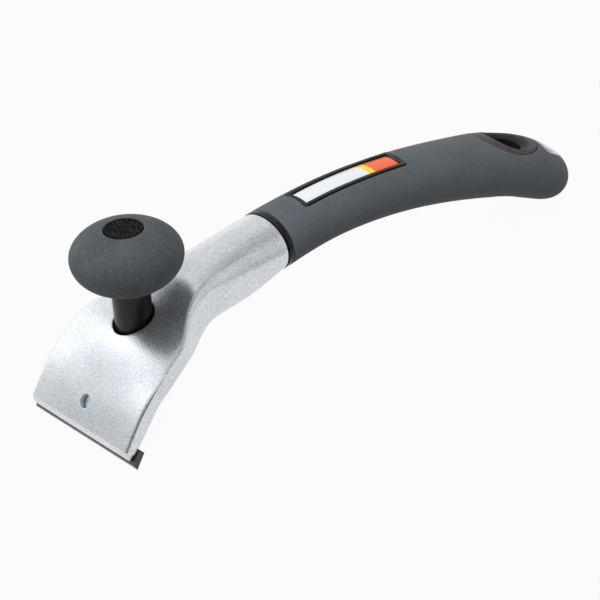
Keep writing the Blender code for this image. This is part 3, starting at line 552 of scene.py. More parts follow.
def head_shell():
    """The casting as one pierced surface: nose, fan and neck, with the knob's socket and the screw hole."""
    knob_low, knob_high = (7.0, 13.0)
    screw_low, screw_high = (9.2, 10.8)
    marks = (knob_low, screw_low, screw_high, knob_high)
    ring = stretch(0.0, 1.0, 5.0, *marks, 15.0, 19.0, 20.0, step=0.2)
    side = 10 - 5 * POCKET_HALF / (HALF_HEAD - HEAD_CORNER)
    edges = (side - 0.02, side + 0.02, 20 - side - 0.02, 20 - side + 0.02)
    ring = np.concatenate([ring, 20 + stretch(0, 1.0, 5.0, *edges, 15.0, 19.0, 20.0, step=0.35)[1:-1]])
    top_run = np.linspace(0, HEAD_RUN[-1], 800)
    ahead = KNOB_AXIS.flat(head_surface(top_run, np.full(800, 10.0)))[0][:, 0]
    clear = SOCKET_RADIUS + 2.6
    front, rear = np.interp([-clear, clear], ahead, top_run)
    foot = BLADE_AXIS.flat(head_surface(top_run, np.full(800, 20.0)))[0][:, 0]
    seat, pocket, screw = np.interp([SEAT_END, POCKET_END, SCREW_PLACE], foot[:400], top_run[:400])
    before = screw - 4.6
    after = screw + 4.6
    marks = (seat - 0.04, seat + 0.04, before, after, pocket - 0.04, pocket + 0.04)
    run = np.concatenate([
        np.linspace(-NOSE_RUN, -0.12, 26),
        stretch(0.0, 0.15, *marks, front, rear, HEAD_RUN[-1] - NECK_EDGE, step=0.8),
    ])
    socket = bored(head_surface, KNOB_AXIS, SOCKET_RADIUS, 0.5, SOCKET_FLOOR)
    screw_hole = bored(head_surface, SCREW_AXIS, SCREW_RADIUS + 0.1, 0.2, UNDERSIDE + 0.4)
    holes = [
        ((front, rear, knob_low, knob_high), socket),
        ((before, after, screw_low, screw_high), screw_hole),
    ]
    return pierced(head_surface, run, ring, holes, head_ends)


def sunk(middle, reach, half_width, corner, edge, depths):
    """A pocket with a rounded outline let into the upper handle surface.

    The outline is a rounded square over distance run and across; it narrows or
    widens along the run where half_width is a pair. Rows draw in to its rounded
    edge, go down to the depths given, and close on the pocket's middle.
    """
    front, back = np.broadcast_to(half_width, 2)

    def outline(p, q, spread, scale=1.0):
        run = middle + (reach + spread) * p * scale
        across = q * scale * (front + (back - front) * (p + 1) / 2 + spread)
        return run, turn_at(run, across)

    def carry(u, v, p, q):
        p, q = rounded_square(p, -q, corner / reach, corner / max(front, back))

        def row(spread, drop, scale=1.0):
            run, turn = outline(p, q, spread, scale)
            return handle_surface(run, turn) - handle_up(run) * drop

        mouth = drawn_in(handle_surface, u, v, *outline(p, q, edge), 7)
        rows = [row(spread, drop) for spread, drop in rounding(edge)]
        rows += [row(0.0, depth) for depth in depths]
        rows += [row(0.0, depths[-1], scale) for scale in (0.5, 0.0)]
        return np.concatenate([mouth, rows])

    return carry


HOLE_SECTION = handle_section(HOLE_X)
HOLE_AXIS = Axis(HOLE_X, HOLE_SECTION[0], HOLE_SECTION[1])


def beside_hole(along, across, side):
    """Run, turn and height on the hole's axis of the surface point seen down that axis at a place."""
    along, across = np.broadcast_arrays(along, across)
    target = np.stack([along, across], axis=-1)
    half_there = 16.5
    turn = side * np.arccos(np.clip(across / half_there, -1, 1)) + (0 if side > 0 else 2 * math.pi)
    run, turn = settle(handle_surface, HOLE_AXIS, target, HOLE_X + along * 0.8, turn)
    return run, turn, HOLE_AXIS.flat(handle_surface(run, turn))[1]


def oval_at(reach, side):
    """Shift and half length of the oval round the hang hole of a half width; below, it is round."""
    widths = (HOLE_RADIUS, MOUTH_HALF_WIDTH, BEZEL_HALF_WIDTH)
    shift = np.interp(reach, widths, (0.0, MOUTH_SHIFT, BEZEL_SHIFT))
    more = np.interp(reach, widths, (0.0, MOUTH_HALF_LENGTH - widths[1], BEZEL_HALF_LENGTH - widths[2]))
    return (shift, reach + more) if side > 0 else (shift * 0, reach + more * 0)


def through_hole(side, reach, edge):
    """One mouth of the hang hole: rows draw in to its rounded edge and run to the handle's middle."""

    def outline(turn, spread):
        shift, length = oval_at(reach, side)
        return shift + (length + spread) * np.cos(turn), (reach + spread) * np.sin(turn)

    def carry(u, v, p, q):
        turn = np.arctan2(-side * q, p)
        rim_u, rim_v, level = beside_hole(*outline(turn, edge), side)
        mouth = drawn_in(handle_surface, u, v, rim_u, rim_v, 7)
        rows = []
        for spread, drop in rounding(edge):
            wide = outline(turn, spread)
            level = beside_hole(*wide, side)[2] - side * drop
            rows.append(HOLE_AXIS.point(*wide, level))
        rows.append(HOLE_AXIS.point(*outline(turn, 0.0), level - side * 2.0))
        bore = HOLE_RADIUS * np.stack([np.cos(turn), np.sin(turn)])
        rows.append(HOLE_AXIS.point(*bore, np.zeros_like(turn)))
        return np.concatenate([mouth, rows])

    return carry


CAP_TOP_RUN = DOME_START + 7.5
CAP_FOOT_RUN = RUN_END - 4.9
CAP_MIDDLE = (CAP_TOP_RUN + CAP_FOOT_RUN) / 2
CAP_REACH = (CAP_FOOT_RUN - CAP_TOP_RUN) / 2
CAP_HALF = (9.2, 3.5)
CAP_CORNER = 2.4


def grip_ends(points):
    """Round the front edge of the grip and close it inside; the butt already ends in a point."""
    lean = handle_section(GRIP_START)[1]
    ahead = np.array([-math.cos(lean), 0.0, math.sin(lean)])
    return [closed_rim(points[0], ahead, GRIP_EDGE, 6, 0.2)]


def grip_shell():
    """The soft grip as one pierced surface: label window, hang hole from both sides, and cap pocket."""
    low = 0.5
    wide = 0.62
    cap = 0.42
    top = stretch(0.0, cap, low, wide, 1.0, math.pi / 2, step=0.06)
    half = np.concatenate([top, math.pi - top[::-1][1:]])
    turn = np.concatenate([half, 2 * math.pi - half[::-1][1:-1]])
    label = FRAME_REACH + 2.0
    front = HOLE_X - 15.4
    back = CAP_TOP_RUN - 1.1
    foot = CAP_FOOT_RUN + 1.4
    run = stretch(
        GRIP_START + GRIP_EDGE, FRAME_MIDDLE - label, FRAME_MIDDLE + label,
        front, back, foot, RUN_END, step=1.3,
    )
    window = sunk(FRAME_MIDDLE, FRAME_REACH, FRAME_HALF, 1.8, SOFT_EDGE, (0.9, 2.6))
    wall = [half_width + GAP for half_width in CAP_HALF]
    pocket = sunk(CAP_MIDDLE, CAP_REACH + GAP, wall, CAP_CORNER, SOFT_EDGE, (0.9, 3.0))
    holes = [
        ((FRAME_MIDDLE - label, FRAME_MIDDLE + label, 1.0, math.pi - 1.0), window),
        ((front, back, low, math.pi - low), through_hole(1, BEZEL_HALF_WIDTH + GAP, 0.3)),
        ((front, back, math.pi + low, 2 * math.pi - low), through_hole(-1, FLANGE_RADIUS + GAP, 0.3)),
        ((back, foot, cap, math.pi - cap), pocket),
    ]
    return pierced(handle_surface, run, turn, holes, grip_ends)


def cap_shell():
    """The hammer cap: the butt's own surface stood proud inside a rounded outline, with a flat ground on it.

    The flat is a soft minimum of height along the strike axis and the level of
    the flat, so its rim is rounded; the last rows turn down into the pocket.
    """
    strike = Axis(HANDLE_END + CAP_BACK, handle_section(HANDLE_END)[0] + CAP_ABOVE, math.pi / 2 - CAP_TILT)
    p, q = np.meshgrid(np.linspace(-1, 1, 61), np.linspace(-1, 1, 49), indexing="ij")
    size = np.maximum(np.abs(p), np.abs(q))
    edge_p = np.where(size > 0, p / np.maximum(size, 1e-9), 1.0)
    edge_q = np.where(size > 0, q / np.maximum(size, 1e-9), 0.0)
    rim_p, rim_q = rounded_square(edge_p, edge_q, CAP_CORNER / CAP_REACH, CAP_CORNER / CAP_HALF[0])
    across = (CAP_HALF[0] + (CAP_HALF[1] - CAP_HALF[0]) * (rim_p * size + 1) / 2) * rim_q * size
    run = CAP_MIDDLE + CAP_REACH * rim_p * size
    turn = turn_at(run, across)
    edge = 0.7
    inset = np.minimum((1 - size) * 6.0, edge)
    drop = edge - np.sqrt(np.maximum(edge ** 2 - (edge - inset) ** 2, 0))
    face = handle_surface(run, turn) + handle_normal(run, turn) * (CAP_PROUD - drop)[..., None]
    level = strike.flat(face)[1] + CAP_FLAT
    soft = 0.12
    over = soft * np.logaddexp(0, level / soft)
    face = face - over[..., None] * strike.up
    rim = np.concatenate([face[0, :-1], face[:-1, -1], face[-1, :0:-1], face[:0:-1, 0]])
    core = handle_surface(np.array(CAP_MIDDLE), np.array(math.pi / 2)) - 4.0 * strike.up
    flow = (core - rim) / np.linalg.norm(core - rim, axis=-1, keepdims=True)
    down = rim - 2.4 * strike.up
    back = np.stack([rim, rim * 0.7 + down * 0.3, down, down + flow * 2.0, np.broadcast_to(core, rim.shape)])
    return [sheet(face), sheet(back, wrap_columns=True)]


def bezel_ring():
    """The hang hole's bezel: one closed profile of half width and depth, carried round ovals.

    The ovals lie on both surfaces of the handle, and points carry their depth under them, which the bezel's
    finish turns into painted shade.
    """
    tube = HOLE_RADIUS + BEZEL_WALL
    heart = 6.0
    turn = np.arange(128)[:, None] * 2 * math.pi / 128
    faces = []
    depths = []
    for side, rim, mouth, depth in (
        (1, BEZEL_HALF_WIDTH, MOUTH_HALF_WIDTH, MOUTH_DEPTH),
        (-1, FLANGE_RADIUS, FLANGE_RADIUS - FLANGE_LIP, FLANGE_DEPTH),
    ):
        corners = np.array([
            (HOLE_RADIUS, heart, 0.0),
            (HOLE_RADIUS, depth, 0.5),
            (mouth, BEZEL_INSET, 0.35),
            (rim, BEZEL_INSET, 0.22),
            (rim, GRIP_THICKNESS, 0.1),
            (tube, GRIP_THICKNESS, 0.1),
            (tube, heart, 0.0),
        ])
        section = eased(corners[:, :2], corners[:, 2], steps=5)[4:-4]
        reach = section[None, :, 0]
        shift, length = oval_at(reach, side)
        along = shift + length * np.cos(turn)
        across = reach * np.sin(turn)
        level = beside_hole(along, across, side)[2] - side * section[None, :, 1]
        faces.append(HOLE_AXIS.point(along, across, level))
        depths.append(section[:, 1])
    loop = np.concatenate([faces[0], faces[1][:, ::-1]], axis=1)
    depth = np.concatenate([depths[0], depths[1][::-1]])
    return [sheet(loop, wrap_rows=True, wrap_columns=True)], {"hole_depth": np.tile(depth, len(turn))}


def label_frame():
    """Hard frame round the label: a rounded section carried round a rectangle that follows the handle."""
    outer = 0.32
    inner = FRAME_BORDER + 0.15
    face = FRAME_SINK - 0.06
    foot = 2.2
    section = eased([(outer, foot), (outer, face), (inner, face), (inner, foot)], [0.0, 0.3, 0.25, 0.0])
    side = np.linspace(-1, 1, 60)[:-1]
    end = np.linspace(-1, 1, 28)[:-1]
    one = np.ones_like(side)
    other = np.ones_like(end)
    p = np.concatenate([side, other, -side, -other])[:, None]
    q = np.concatenate([-one, end, one, -end])[:, None]
    corner = np.maximum(1.9 - section[None, :, 0] * 0.6, 0.35)
    reach = FRAME_REACH - section[None, :, 0]
    half = FRAME_HALF - section[None, :, 0]
    p, q = rounded_square(p, q, corner / reach, corner / half)
    run = FRAME_MIDDLE + p * reach
    turn = turn_at(run, q * half)
    points = handle_surface(run, turn) - handle_up(run) * section[None, :, 1, None]
    return [sheet(points, wrap_rows=True, wrap_columns=True)]


def label_shell():
    """The label plate: the handle's upper surface, lowered, over a strip with rounded corners.

    Its edges turn down, and its points carry their place along and across the print.
    """
    reach = LABEL_LENGTH / 2
    bend = np.linspace(-math.pi / 2, math.pi / 2, 121)[:, None]
    along = FRAME_MIDDLE + reach * np.sign(bend) * (1 - (1 - np.abs(np.sin(bend))) ** 1.2)
    corner = 0.8
    near = np.clip(reach - np.abs(along - FRAME_MIDDLE), 0, corner)
    half = LABEL_WIDTH / 2 - corner + np.sqrt(np.maximum(corner ** 2 - (corner - near) ** 2, 0))
    share = np.linspace(-1, 1, 33)[None, :]
    across = share * half
    run = along + 0 * share
    top = handle_surface(run, turn_at(run, across)) - handle_up(run) * (FRAME_SINK + LABEL_SINK)
    low = top - handle_up(run) * LABEL_THICKNESS
    points = np.concatenate([low[:, :1], top, low[:, -1:]], axis=1)
    under = np.concatenate([low[:, :1], low, low[:, -1:]], axis=1)
    parts = [points, under] + [np.stack([points[end], under[end]]) for end in (0, -1)]
    fields = {}
    for key, value in (("print_along", run), ("print_across", across)):
        wide = np.concatenate([value[:, :1], value, value[:, -1:]], axis=1)
        fields[key] = np.concatenate([wide, wide, wide[[0, 0, -1, -1]]]).reshape(-1)
    return [sheet(part) for part in parts], fields


def collar_ring():
    """Glossy ring in front of the grip: a rounded section carried round the handle's ellipse."""
    low = HANDLE_START + GAP
    high = HANDLE_START + COLLAR_WIDTH
    section = eased(
        [(low, 6.0), (low, COLLAR_INSET), (high, COLLAR_INSET), (high, 6.0)], [0.0, 0.55, 0.35, 0.0]
    )
    turn = np.arange(144)[:, None] * 2 * math.pi / 144
    points = handle_surface(section[None, :, 0], turn, section[None, :, 1])
    return [sheet(points, wrap_rows=True, wrap_columns=True)]


def blade_bar():
    """The carbide bar: a bevelled section with honed corners, whose ends lean in by the same bevel."""
    section = eased(
        [
            (0.0, 0.0),
            (BLADE_DEPTH, 0.0),
            (BLADE_DEPTH - BLADE_BEVEL, BLADE_THICKNESS),
            (BLADE_BEVEL, BLADE_THICKNESS),
        ],
        [0.03, 0.05, 0.09, 0.09],
    )
    lean = BLADE_BEVEL * section[:, 1] / BLADE_THICKNESS
    length = BLADE_WIDTH / 2 - lean
    share = np.concatenate([[-1.0], np.linspace(-0.998, 0.998, 81), [1.0]])[:, None]
    points = BLADE_AXIS.point(section[None, :, 0], share * length, section[None, :, 1])
    middle = section.mean(axis=0)
    return closed_tube(points, BLADE_AXIS.point(middle[0], share[[0, -1], 0] * length.mean(), middle[1]))


def clamp_plate():
    """The clamp: its stepped side outline with eased corners, carried across and drawn in at both ends."""
    top = -GAP
    heel = UNDERSIDE - GAP
    back = CLAMP_FRONT + CLAMP_LENGTH
    step = BLADE_DEPTH + 3 * GAP
    section = eased(
        [
            (CLAMP_FRONT, top),
            (CLAMP_FRONT, top - CLAMP_NOSE),
            (CLAMP_FRONT + 2 * CLAMP_NOSE, CLAMP_FOOT),
            (back, CLAMP_FOOT),
            (back, heel),
            (step, heel),
            (step, top),
        ],
        [0.2, 0.4, 0.8, 0.5, 0.4, 0.2, 0.1],
    )
    middle = np.array([(CLAMP_FRONT + back) / 2, (top + CLAMP_FOOT) / 2])
    edge = 0.5
    flank = CLAMP_WIDTH / 2 - edge
    bend = edge_turns(5)
    half = np.concatenate([np.linspace(0, flank, 20)[:-1], flank + edge * np.sin(bend)])
    inset = np.concatenate([np.zeros(19), edge * (1 - np.cos(bend))])
    across = np.concatenate([-half[::-1], half[1:]])[:, None]
    inset = np.concatenate([inset[::-1], inset[1:]])[:, None, None]
    inward = middle - section
    inward = inward / np.abs(inward).max(axis=1, keepdims=True)
    drawn = section[None] + inset * inward[None]
    points = BLADE_AXIS.point(drawn[..., 0], across, drawn[..., 1])
    return closed_tube(points, BLADE_AXIS.point(middle[0], across[[0, -1], 0], middle[1]))


def lock_washer():
    """Spring washer: a nearly square section carried round one turn less its split, with a slight rise."""
    lift = 0.05
    low = LOCK_WASHER_FOOT + lift
    high = LOCK_WASHER_FOOT + LOCK_WASHER_THICKNESS - lift
    radius, height = ring_section(SCREW_RADIUS + GAP, LOCK_WASHER_RADIUS, low, high, 0.18).T[:, None]
    turn = np.radians(np.linspace(8, 352, 97))[:, None]
    rise = (turn / math.pi - 1) * lift
    points = SCREW_AXIS.point(radius * np.cos(turn), radius * np.sin(turn), height + rise)
    return closed_tube(points, points[[0, -1]].mean(axis=1))


def thread(pitch, depth, outer, end=math.inf):
    """Wave of a thread: a triangle wave of height less turn over the pitch, cut into the outer radius.

    It fades out over the last half millimetre before its end.
    """

    def wave(turn, radius, height):
        phase = np.mod(height / pitch - turn / (2 * math.pi), 1.0)
        cut = depth * (1 - np.abs(2 * phase - 1))
        return -cut * (radius > outer - 1e-6) * np.clip((end - height) / 0.5, 0, 1)

    return wave


def screw_shank():
    """Threaded shank of the clamp screw, with a chamfered end."""
    foot = SCREW_SHOULDER - 0.4
    top = HEAD_TOP - SCREW_RECESS
    height = np.linspace(foot, top - 0.5, 241)
    body = np.stack([np.full_like(height, SCREW_RADIUS), height], axis=-1)
    corners = [(0.0, foot), (0.0, top), (SCREW_RADIUS - 0.45, top), (SCREW_RADIUS, top - 0.5)]
    end = eased(corners, [0.0, 0.0, 0.12, 0.0])
    profile = np.concatenate([[(0.0, foot)], body, end[12:18][::-1], [(0.0, top)]])
    return [SCREW_AXIS.turned(profile, steps=64, wave=thread(SCREW_PITCH, 0.34, SCREW_RADIUS, top - 0.6))]


def screw_head():
    """Slotted pan head: a height over a disc, cut down to the slot's floor between two straight lines."""
    foot = SCREW_SHOULDER - SCREW_HEAD_HEIGHT
    slot = SLOT_WIDTH / 2
    x = np.concatenate([
        np.linspace(-SCREW_HEAD_RADIUS, -slot, 28), np.linspace(-slot, slot, 7),
        np.linspace(slot, SCREW_HEAD_RADIUS, 28),
    ])[:, None]
    inside = np.concatenate([np.zeros(28), np.ones(7), np.zeros(28)])[:, None]
    share = np.sin(np.linspace(-math.pi / 2, math.pi / 2, 61))[None, :]
    y = share * np.sqrt(np.maximum(SCREW_HEAD_RADIUS ** 2 - x ** 2, 0))
    radius = np.hypot(x, y)
    slant = (SCREW_HEAD_RADIUS - radius) / (SCREW_HEAD_RADIUS - SCREW_FACE_RADIUS)
    crown = 1 - 0.12 * np.clip(radius / SCREW_FACE_RADIUS, 0, 1) ** 2
    soft = 0.05
    rise = -soft * np.logaddexp(-np.clip(slant, 0, 4) / soft, -crown / soft)
    rise = np.clip(rise, 0, 1) * SCREW_HEAD_HEIGHT
    rise = np.where(inside > 0, np.minimum(rise, SCREW_HEAD_HEIGHT - SLOT_DEPTH), rise)
    face = SCREW_AXIS.point(x, y, SCREW_SHOULDER - rise)
    back = SCREW_AXIS.point(x, y, np.full_like(y, SCREW_SHOULDER))
    return [sheet(face), sheet(back)]


def knob_curve(inset, low_radius, high_radius, count=64):
    """Half outline of the knob from its crown to its belly: two quarter ellipses that meet at the equator."""
    radius = KNOB_RADIUS - inset
    turn = np.linspace(math.acos(high_radius / radius), -math.acos(low_radius / radius), count)
    height = np.where(turn > 0, KNOB_CROWN, KNOB_BELLY) - inset
    return np.stack([radius * np.cos(turn), KNOB_EQUATOR + height * np.sin(turn)], axis=-1)


KNOB_TOP = knob_curve(0.0, STEM_TOP_RADIUS + GAP, KNOB_CAP_RADIUS + GAP)[0, 1]


def knob_cover():
    """Soft cover of the knob: outer outline, eased rims at plug and stem, and its inner outline."""
    outer = knob_curve(0.0, STEM_TOP_RADIUS + 0.9, KNOB_CAP_RADIUS + 0.8)
    inner = knob_curve(KNOB_RUBBER, STEM_TOP_RADIUS + GAP, KNOB_CAP_RADIUS + GAP, 24)[::-1]
    top = np.array([(KNOB_CAP_RADIUS + 0.36, KNOB_TOP - 0.8), (KNOB_CAP_RADIUS + 0.45, KNOB_TOP - 0.3)])
    foot = knob_curve(0.0, STEM_TOP_RADIUS + GAP, KNOB_CAP_RADIUS + GAP)[-1]
    low = np.array([(foot[0] + 0.12, foot[1] + 0.25), (foot[0], foot[1] + 0.8)])
    profile = np.concatenate([top, outer, low, inner])
    return [KNOB_AXIS.turned(profile, steps=160)]


def knob_heart():
    """Hard core of the knob: shelf under the plug, inner outline, and the stem down into the socket."""
    bore = STUD_RADIUS + GAP
    shelf = KNOB_TOP - KNOB_CAP_DEPTH - GAP
    foot = SOCKET_FLOOR + KNOB_WASHER_THICKNESS + 2 * GAP
    inner = knob_curve(KNOB_RUBBER + GAP, STEM_TOP_RADIUS, KNOB_CAP_RADIUS, 40)
    high = foot + 4
    corners = [(bore, high), (STEM_TOP_RADIUS, high), (STEM_FOOT_RADIUS, foot), (bore, foot)]
    stem = eased(corners, [0.0, 0.0, 0.5, 0.0])
    profile = np.concatenate([[(bore, shelf), (KNOB_CAP_RADIUS, shelf)], inner, stem[12:]])
    return [KNOB_AXIS.turned(profile, steps=128)]


def knob_plug():
    """Plug in the knob's crown: a slightly dished face inside a thin rounded rim."""
    face = KNOB_TOP - KNOB_CAP_SINK
    foot = face - 3.6
    radius = np.linspace(0, KNOB_CAP_RADIUS - 0.75, 22)
    dish = np.stack([radius, face - 0.28 + 0.1 * (radius / KNOB_CAP_RADIUS) ** 2], axis=-1)
    rim = eased(
        [
            (0.0, face),
            (KNOB_CAP_RADIUS - 0.62, face - 0.2),
            (KNOB_CAP_RADIUS - 0.5, face + 0.05),
            (KNOB_CAP_RADIUS, face + 0.05),
            (KNOB_CAP_RADIUS, foot),
        ],
        [0.0, 0.05, 0.08, 0.14, 0.3],
    )
    profile = np.concatenate([dish, rim[6:], [(0.0, foot)]])
    return [KNOB_AXIS.turned(profile, steps=96)]


def ring_section(inner, outer, low, high, edge):
    """A flat ring's section with eased corners."""
    return eased([(inner, low), (outer, low), (outer, high), (inner, high)], edge)


def stud_rod():
    """Threaded stud that holds the knob, with both ends chamfered."""
    chamfer = 0.6
    low = BOSS_FOOT + GAP
    height = np.linspace(low + chamfer, STUD_TOP - chamfer, 240)
    body = np.stack([np.full_like(height, STUD_RADIUS), height], axis=-1)
    foot = [(0.0, low), (STUD_RADIUS - chamfer, low)]
    top = [(STUD_RADIUS - chamfer, STUD_TOP), (0.0, STUD_TOP)]
    profile = np.concatenate([foot, body, top])
    return [KNOB_AXIS.turned(profile, steps=64, wave=thread(STUD_PITCH, 0.5, STUD_RADIUS))]


def washer_ring():
    """Flat washer between the stem and the floor of its socket."""
    low = SOCKET_FLOOR + GAP
    section = ring_section(STUD_RADIUS + GAP, KNOB_WASHER_RADIUS, low, low + KNOB_WASHER_THICKNESS, 0.2)
    return [KNOB_AXIS.turned(section)]


def boss_ring():
    """Boss under the fan that takes the stud: a tapered sleeve with an eased mouth."""
    section = eased(
        [
            (STUD_RADIUS + GAP, BOSS_FOOT),
            (BOSS_RADIUS - 0.4, BOSS_FOOT),
            (BOSS_RADIUS, SOCKET_FLOOR - 1.5),
            (STUD_RADIUS + GAP, SOCKET_FLOOR - 1.5),
        ],
        [0.5, 1.0, 0.0, 0.0],
    )
    return [KNOB_AXIS.turned(section, steps=96)]


def joined_by(operation, swapped=False):
    """A method that joins a number to another value by one Math node."""

    def method(self, other=0.0):
        first, second = (other, self) if swapped else (self, other)
        return self.finish.node("Math", {"operation": operation}, {0: first, 1: second})

    return method


class Number:
    """A number socket of a finish; arithmetic on it adds Math nodes."""

    def __init__(self, finish, socket):
        self.finish = finish
        self.socket = socket

    __add__ = joined_by('ADD')
    __radd__ = joined_by('ADD', swapped=True)
    __sub__ = joined_by('SUBTRACT')
    __rsub__ = joined_by('SUBTRACT', swapped=True)
    __mul__ = joined_by('MULTIPLY')
    __rmul__ = joined_by('MULTIPLY', swapped=True)
    __gt__ = joined_by('GREATER_THAN')
    __abs__ = joined_by('ABSOLUTE')
    most = joined_by('MAXIMUM')

    def ramp(self, low, high):
        """Smooth step from 0 to 1 between two values."""
        settings = {"interpolation_type": 'SMOOTHSTEP'}
        return self.finish.node("MapRange", settings, {"Value": self, "From Min": low, "From Max": high})


class Finish:
    """A material in the making: one shader, and one method for any node that feeds it."""

    def __init__(self, name, **fixed):
        self.material = bpy.data.materials.new(name)
        self.material.use_nodes = True
        self.tree = self.material.node_tree
        self.shader = self.tree.nodes["Principled BSDF"]
        for key, value in fixed.items():
            self.feed(self.shader.inputs[key.replace("_", " ").title().replace("Ior", "IOR")], value)

    def feed(self, socket, value):
        """Link a Number to a socket, or set a plain value on it."""
        if isinstance(value, Number):
            self.tree.links.new(value.socket, socket)
        else:
            socket.default_value = value

    def node(self, kind, settings, sockets, output=0):
        """Add a node: its settings first, then the values or links of its sockets."""
        made = self.tree.nodes.new("ShaderNode" + kind)
        for key, value in settings.items():
            setattr(made, key, value)
        for key, value in sockets.items():
            self.feed(made.inputs[key], value)
        return Number(self, made.outputs[output])

    def noise(self, size, detail=2.0, rough=0.5, stretch_by=(1.0, 1.0, 1.0), turn=(0.0, 0.0, 0.0)):
        """Cloud noise of grains of so many millimetres, turned and stretched where it runs one way."""
        spot = self.node("TexCoord", {}, {}, "Object")
        place = self.node("Mapping", {}, {"Vector": spot, "Rotation": turn, "Scale": stretch_by})
        sockets = {"Vector": place, "Scale": 1 / MM / size, "Detail": detail, "Roughness": rough}
        return self.node("TexNoise", {}, sockets, "Fac")

    def field(self, name):
        """A number that the piece's points carry."""
        return self.node("Attribute", {"attribute_name": name}, {}, "Fac")

    def ray(self, kind):
        """Whether the ray that meets the surface is of a kind."""
        return self.node("LightPath", {}, {}, f"Is {kind} Ray")

    def mix(self, share, first, second):
        """Colour between two others."""
        return self.node("Mix", {"data_type": 'RGBA'}, {0: share, 6: first, 7: second}, 2)

    def done(self, colour, roughness, relief, depth):
        """Feed the colour, the roughness and a relief of so many millimetres, and give the material."""
        normal = self.node("Bump", {}, {"Height": relief, "Strength": 1.0, "Distance": depth * MM})
        for key, value in (("Base Color", colour), ("Roughness", roughness), ("Normal", normal)):
            self.feed(self.shader.inputs[key], value)
        return self.material


def shade(red, green, blue):
    """A screen colour, 0 to 255, as the linear colour that a shader takes."""
    screen = np.array([red, green, blue]) / 255
    linear = np.where(screen < 0.04045, screen / 12.92, ((screen + 0.055) / 1.055) ** 2.4)
    return (*linear.tolist(), 1.0)


def cast_finish():
    """Blasted aluminium casting: fine bright and grey grains, soft clouds, and a peened relief."""
    finish = Finish("cast aluminium", metallic=0.88)
    fine = finish.noise(0.3)
    grain = finish.noise(0.75)
    cloud = finish.noise(9.0, 3.0)
    skin = fine * 0.6 + grain * 0.4
    colour = finish.mix(skin.ramp(0.38, 0.62), shade(194, 199, 205), shade(234, 238, 243))
    colour = finish.mix(cloud.ramp(0.35, 0.75) * 0.25, colour, shade(236, 238, 240))
    return finish.done(colour, 0.22 + 0.1 * grain + 0.04 * cloud, skin, 0.1)


def carbide_finish():
    """Ground carbide: dark bar with fine wheel marks along it and darker clouds."""
    finish = Finish("ground carbide", metallic=0.85)
    marks = finish.noise(0.5, 3.0, 0.6, (6.0, 0.15, 6.0))
    cloud = finish.noise(2.4, 3.0)
    colour = finish.mix(marks.ramp(0.3, 0.7), shade(94, 90, 89), shade(116, 110, 107))
    colour = finish.mix(cloud.ramp(0.5, 0.8) * 0.35, colour, shade(78, 72, 68))
    return finish.done(colour, 0.3 + 0.16 * marks, marks, 0.01)


def zinc_finish():
    """Zinc-plated steel: bluish bright plate with cloudy tarnish and fine turning marks."""
    finish = Finish("zinc plate", metallic=0.45)
    cloud = finish.noise(1.8, 3.0)
    fine = finish.noise(0.25)
    colour = finish.mix(cloud.ramp(0.35, 0.7), shade(168, 205, 220), shade(236, 244, 250))
    return finish.done(colour, 0.2 + 0.16 * fine + 0.08 * cloud, fine, 0.008)


def steel_finish():
    """Stamped steel plate: brushed across, with a dull plated tone."""
    finish = Finish("stamped steel", metallic=1.0)
    marks = finish.noise(0.4, 3.0, 0.6, (5.0, 0.12, 5.0))
    cloud = finish.noise(5.0, 3.0)
    colour = finish.mix(marks.ramp(0.3, 0.7), shade(140, 141, 143), shade(170, 171, 173))
    colour = finish.mix(cloud.ramp(0.5, 0.8) * 0.4, colour, shade(122, 122, 124))
    return finish.done(colour, 0.3 + 0.15 * marks, marks, 0.012)


def cap_finish():
    """Bright hammer cap: satin steel with short handling scratches."""
    finish = Finish("satin steel", metallic=1.0)
    marks = finish.noise(0.35, 3.0, 0.6, (0.2, 4.0, 1.0))
    cloud = finish.noise(4.0)
    colour = finish.mix(cloud.ramp(0.4, 0.7), shade(196, 197, 199), shade(216, 217, 219))
    return finish.done(colour, 0.24 + 0.14 * marks, marks, 0.008)


def rubber_finish(name, low, high, specks):
    """Soft moulded rubber: chalky grey with cloudy handling marks, an eroded grain and pale dust."""
    finish = Finish(name, specular_ior_level=0.22, sheen_weight=0.06, sheen_roughness=0.5)
    fine = finish.noise(0.4)
    grain = finish.noise(0.8)
    cloud = finish.noise(14.0, 4.0, 0.6)
    smear = finish.noise(4.0, 3.0, 0.6)
    dust = finish.noise(0.8, 1.0)
    colour = finish.mix(cloud.ramp(0.3, 0.7), low, high)
    colour = finish.mix(smear.ramp(0.55, 0.8) * 0.25, colour, shade(106, 111, 115))
    colour = finish.mix(fine.ramp(0.42, 0.72) * 0.6, colour, shade(106, 112, 117))
    colour = finish.mix(dust.ramp(0.68, 0.76) * specks, colour, shade(132, 137, 141))
    return finish.done(colour, 0.66 + 0.14 * grain, fine * 0.5 + grain * 0.5, 0.05)


def plastic_finish():
    """Moulded plastic: near-black and glossy, with faint flow clouds and a fine grain."""
    finish = Finish("black plastic", specular_ior_level=0.3)
    cloud = finish.noise(6.0, 3.0)
    fine = finish.noise(0.3)
    colour = finish.mix(cloud.ramp(0.3, 0.7), shade(10, 10, 11), shade(16, 16, 18))
    return finish.done(colour, 0.22 + 0.1 * fine + 0.05 * cloud, fine, 0.012)


def bezel_finish():
    """Hang hole's bezel: warm dark grey on its face with a fine grain, and painted shade that turns it
    blacker with depth down the hole.
    """
    finish = Finish("bezel plastic", specular_ior_level=0.25)
    depth = finish.field("hole_depth")
    cloud = finish.noise(6.0, 3.0)
    fine = finish.noise(0.3)
    face = finish.mix(cloud.ramp(0.3, 0.7), shade(66, 62, 60), shade(80, 75, 73))
    # painted shade: the colour goes near black with the depth down the hole, standing in for the hole's
    # shadow
    colour = finish.mix(depth.ramp(0.1, 1.6) * 0.94, face, shade(14, 13, 13))
    return finish.done(colour, 0.45 + 0.1 * fine + 0.05 * cloud, fine, 0.02)


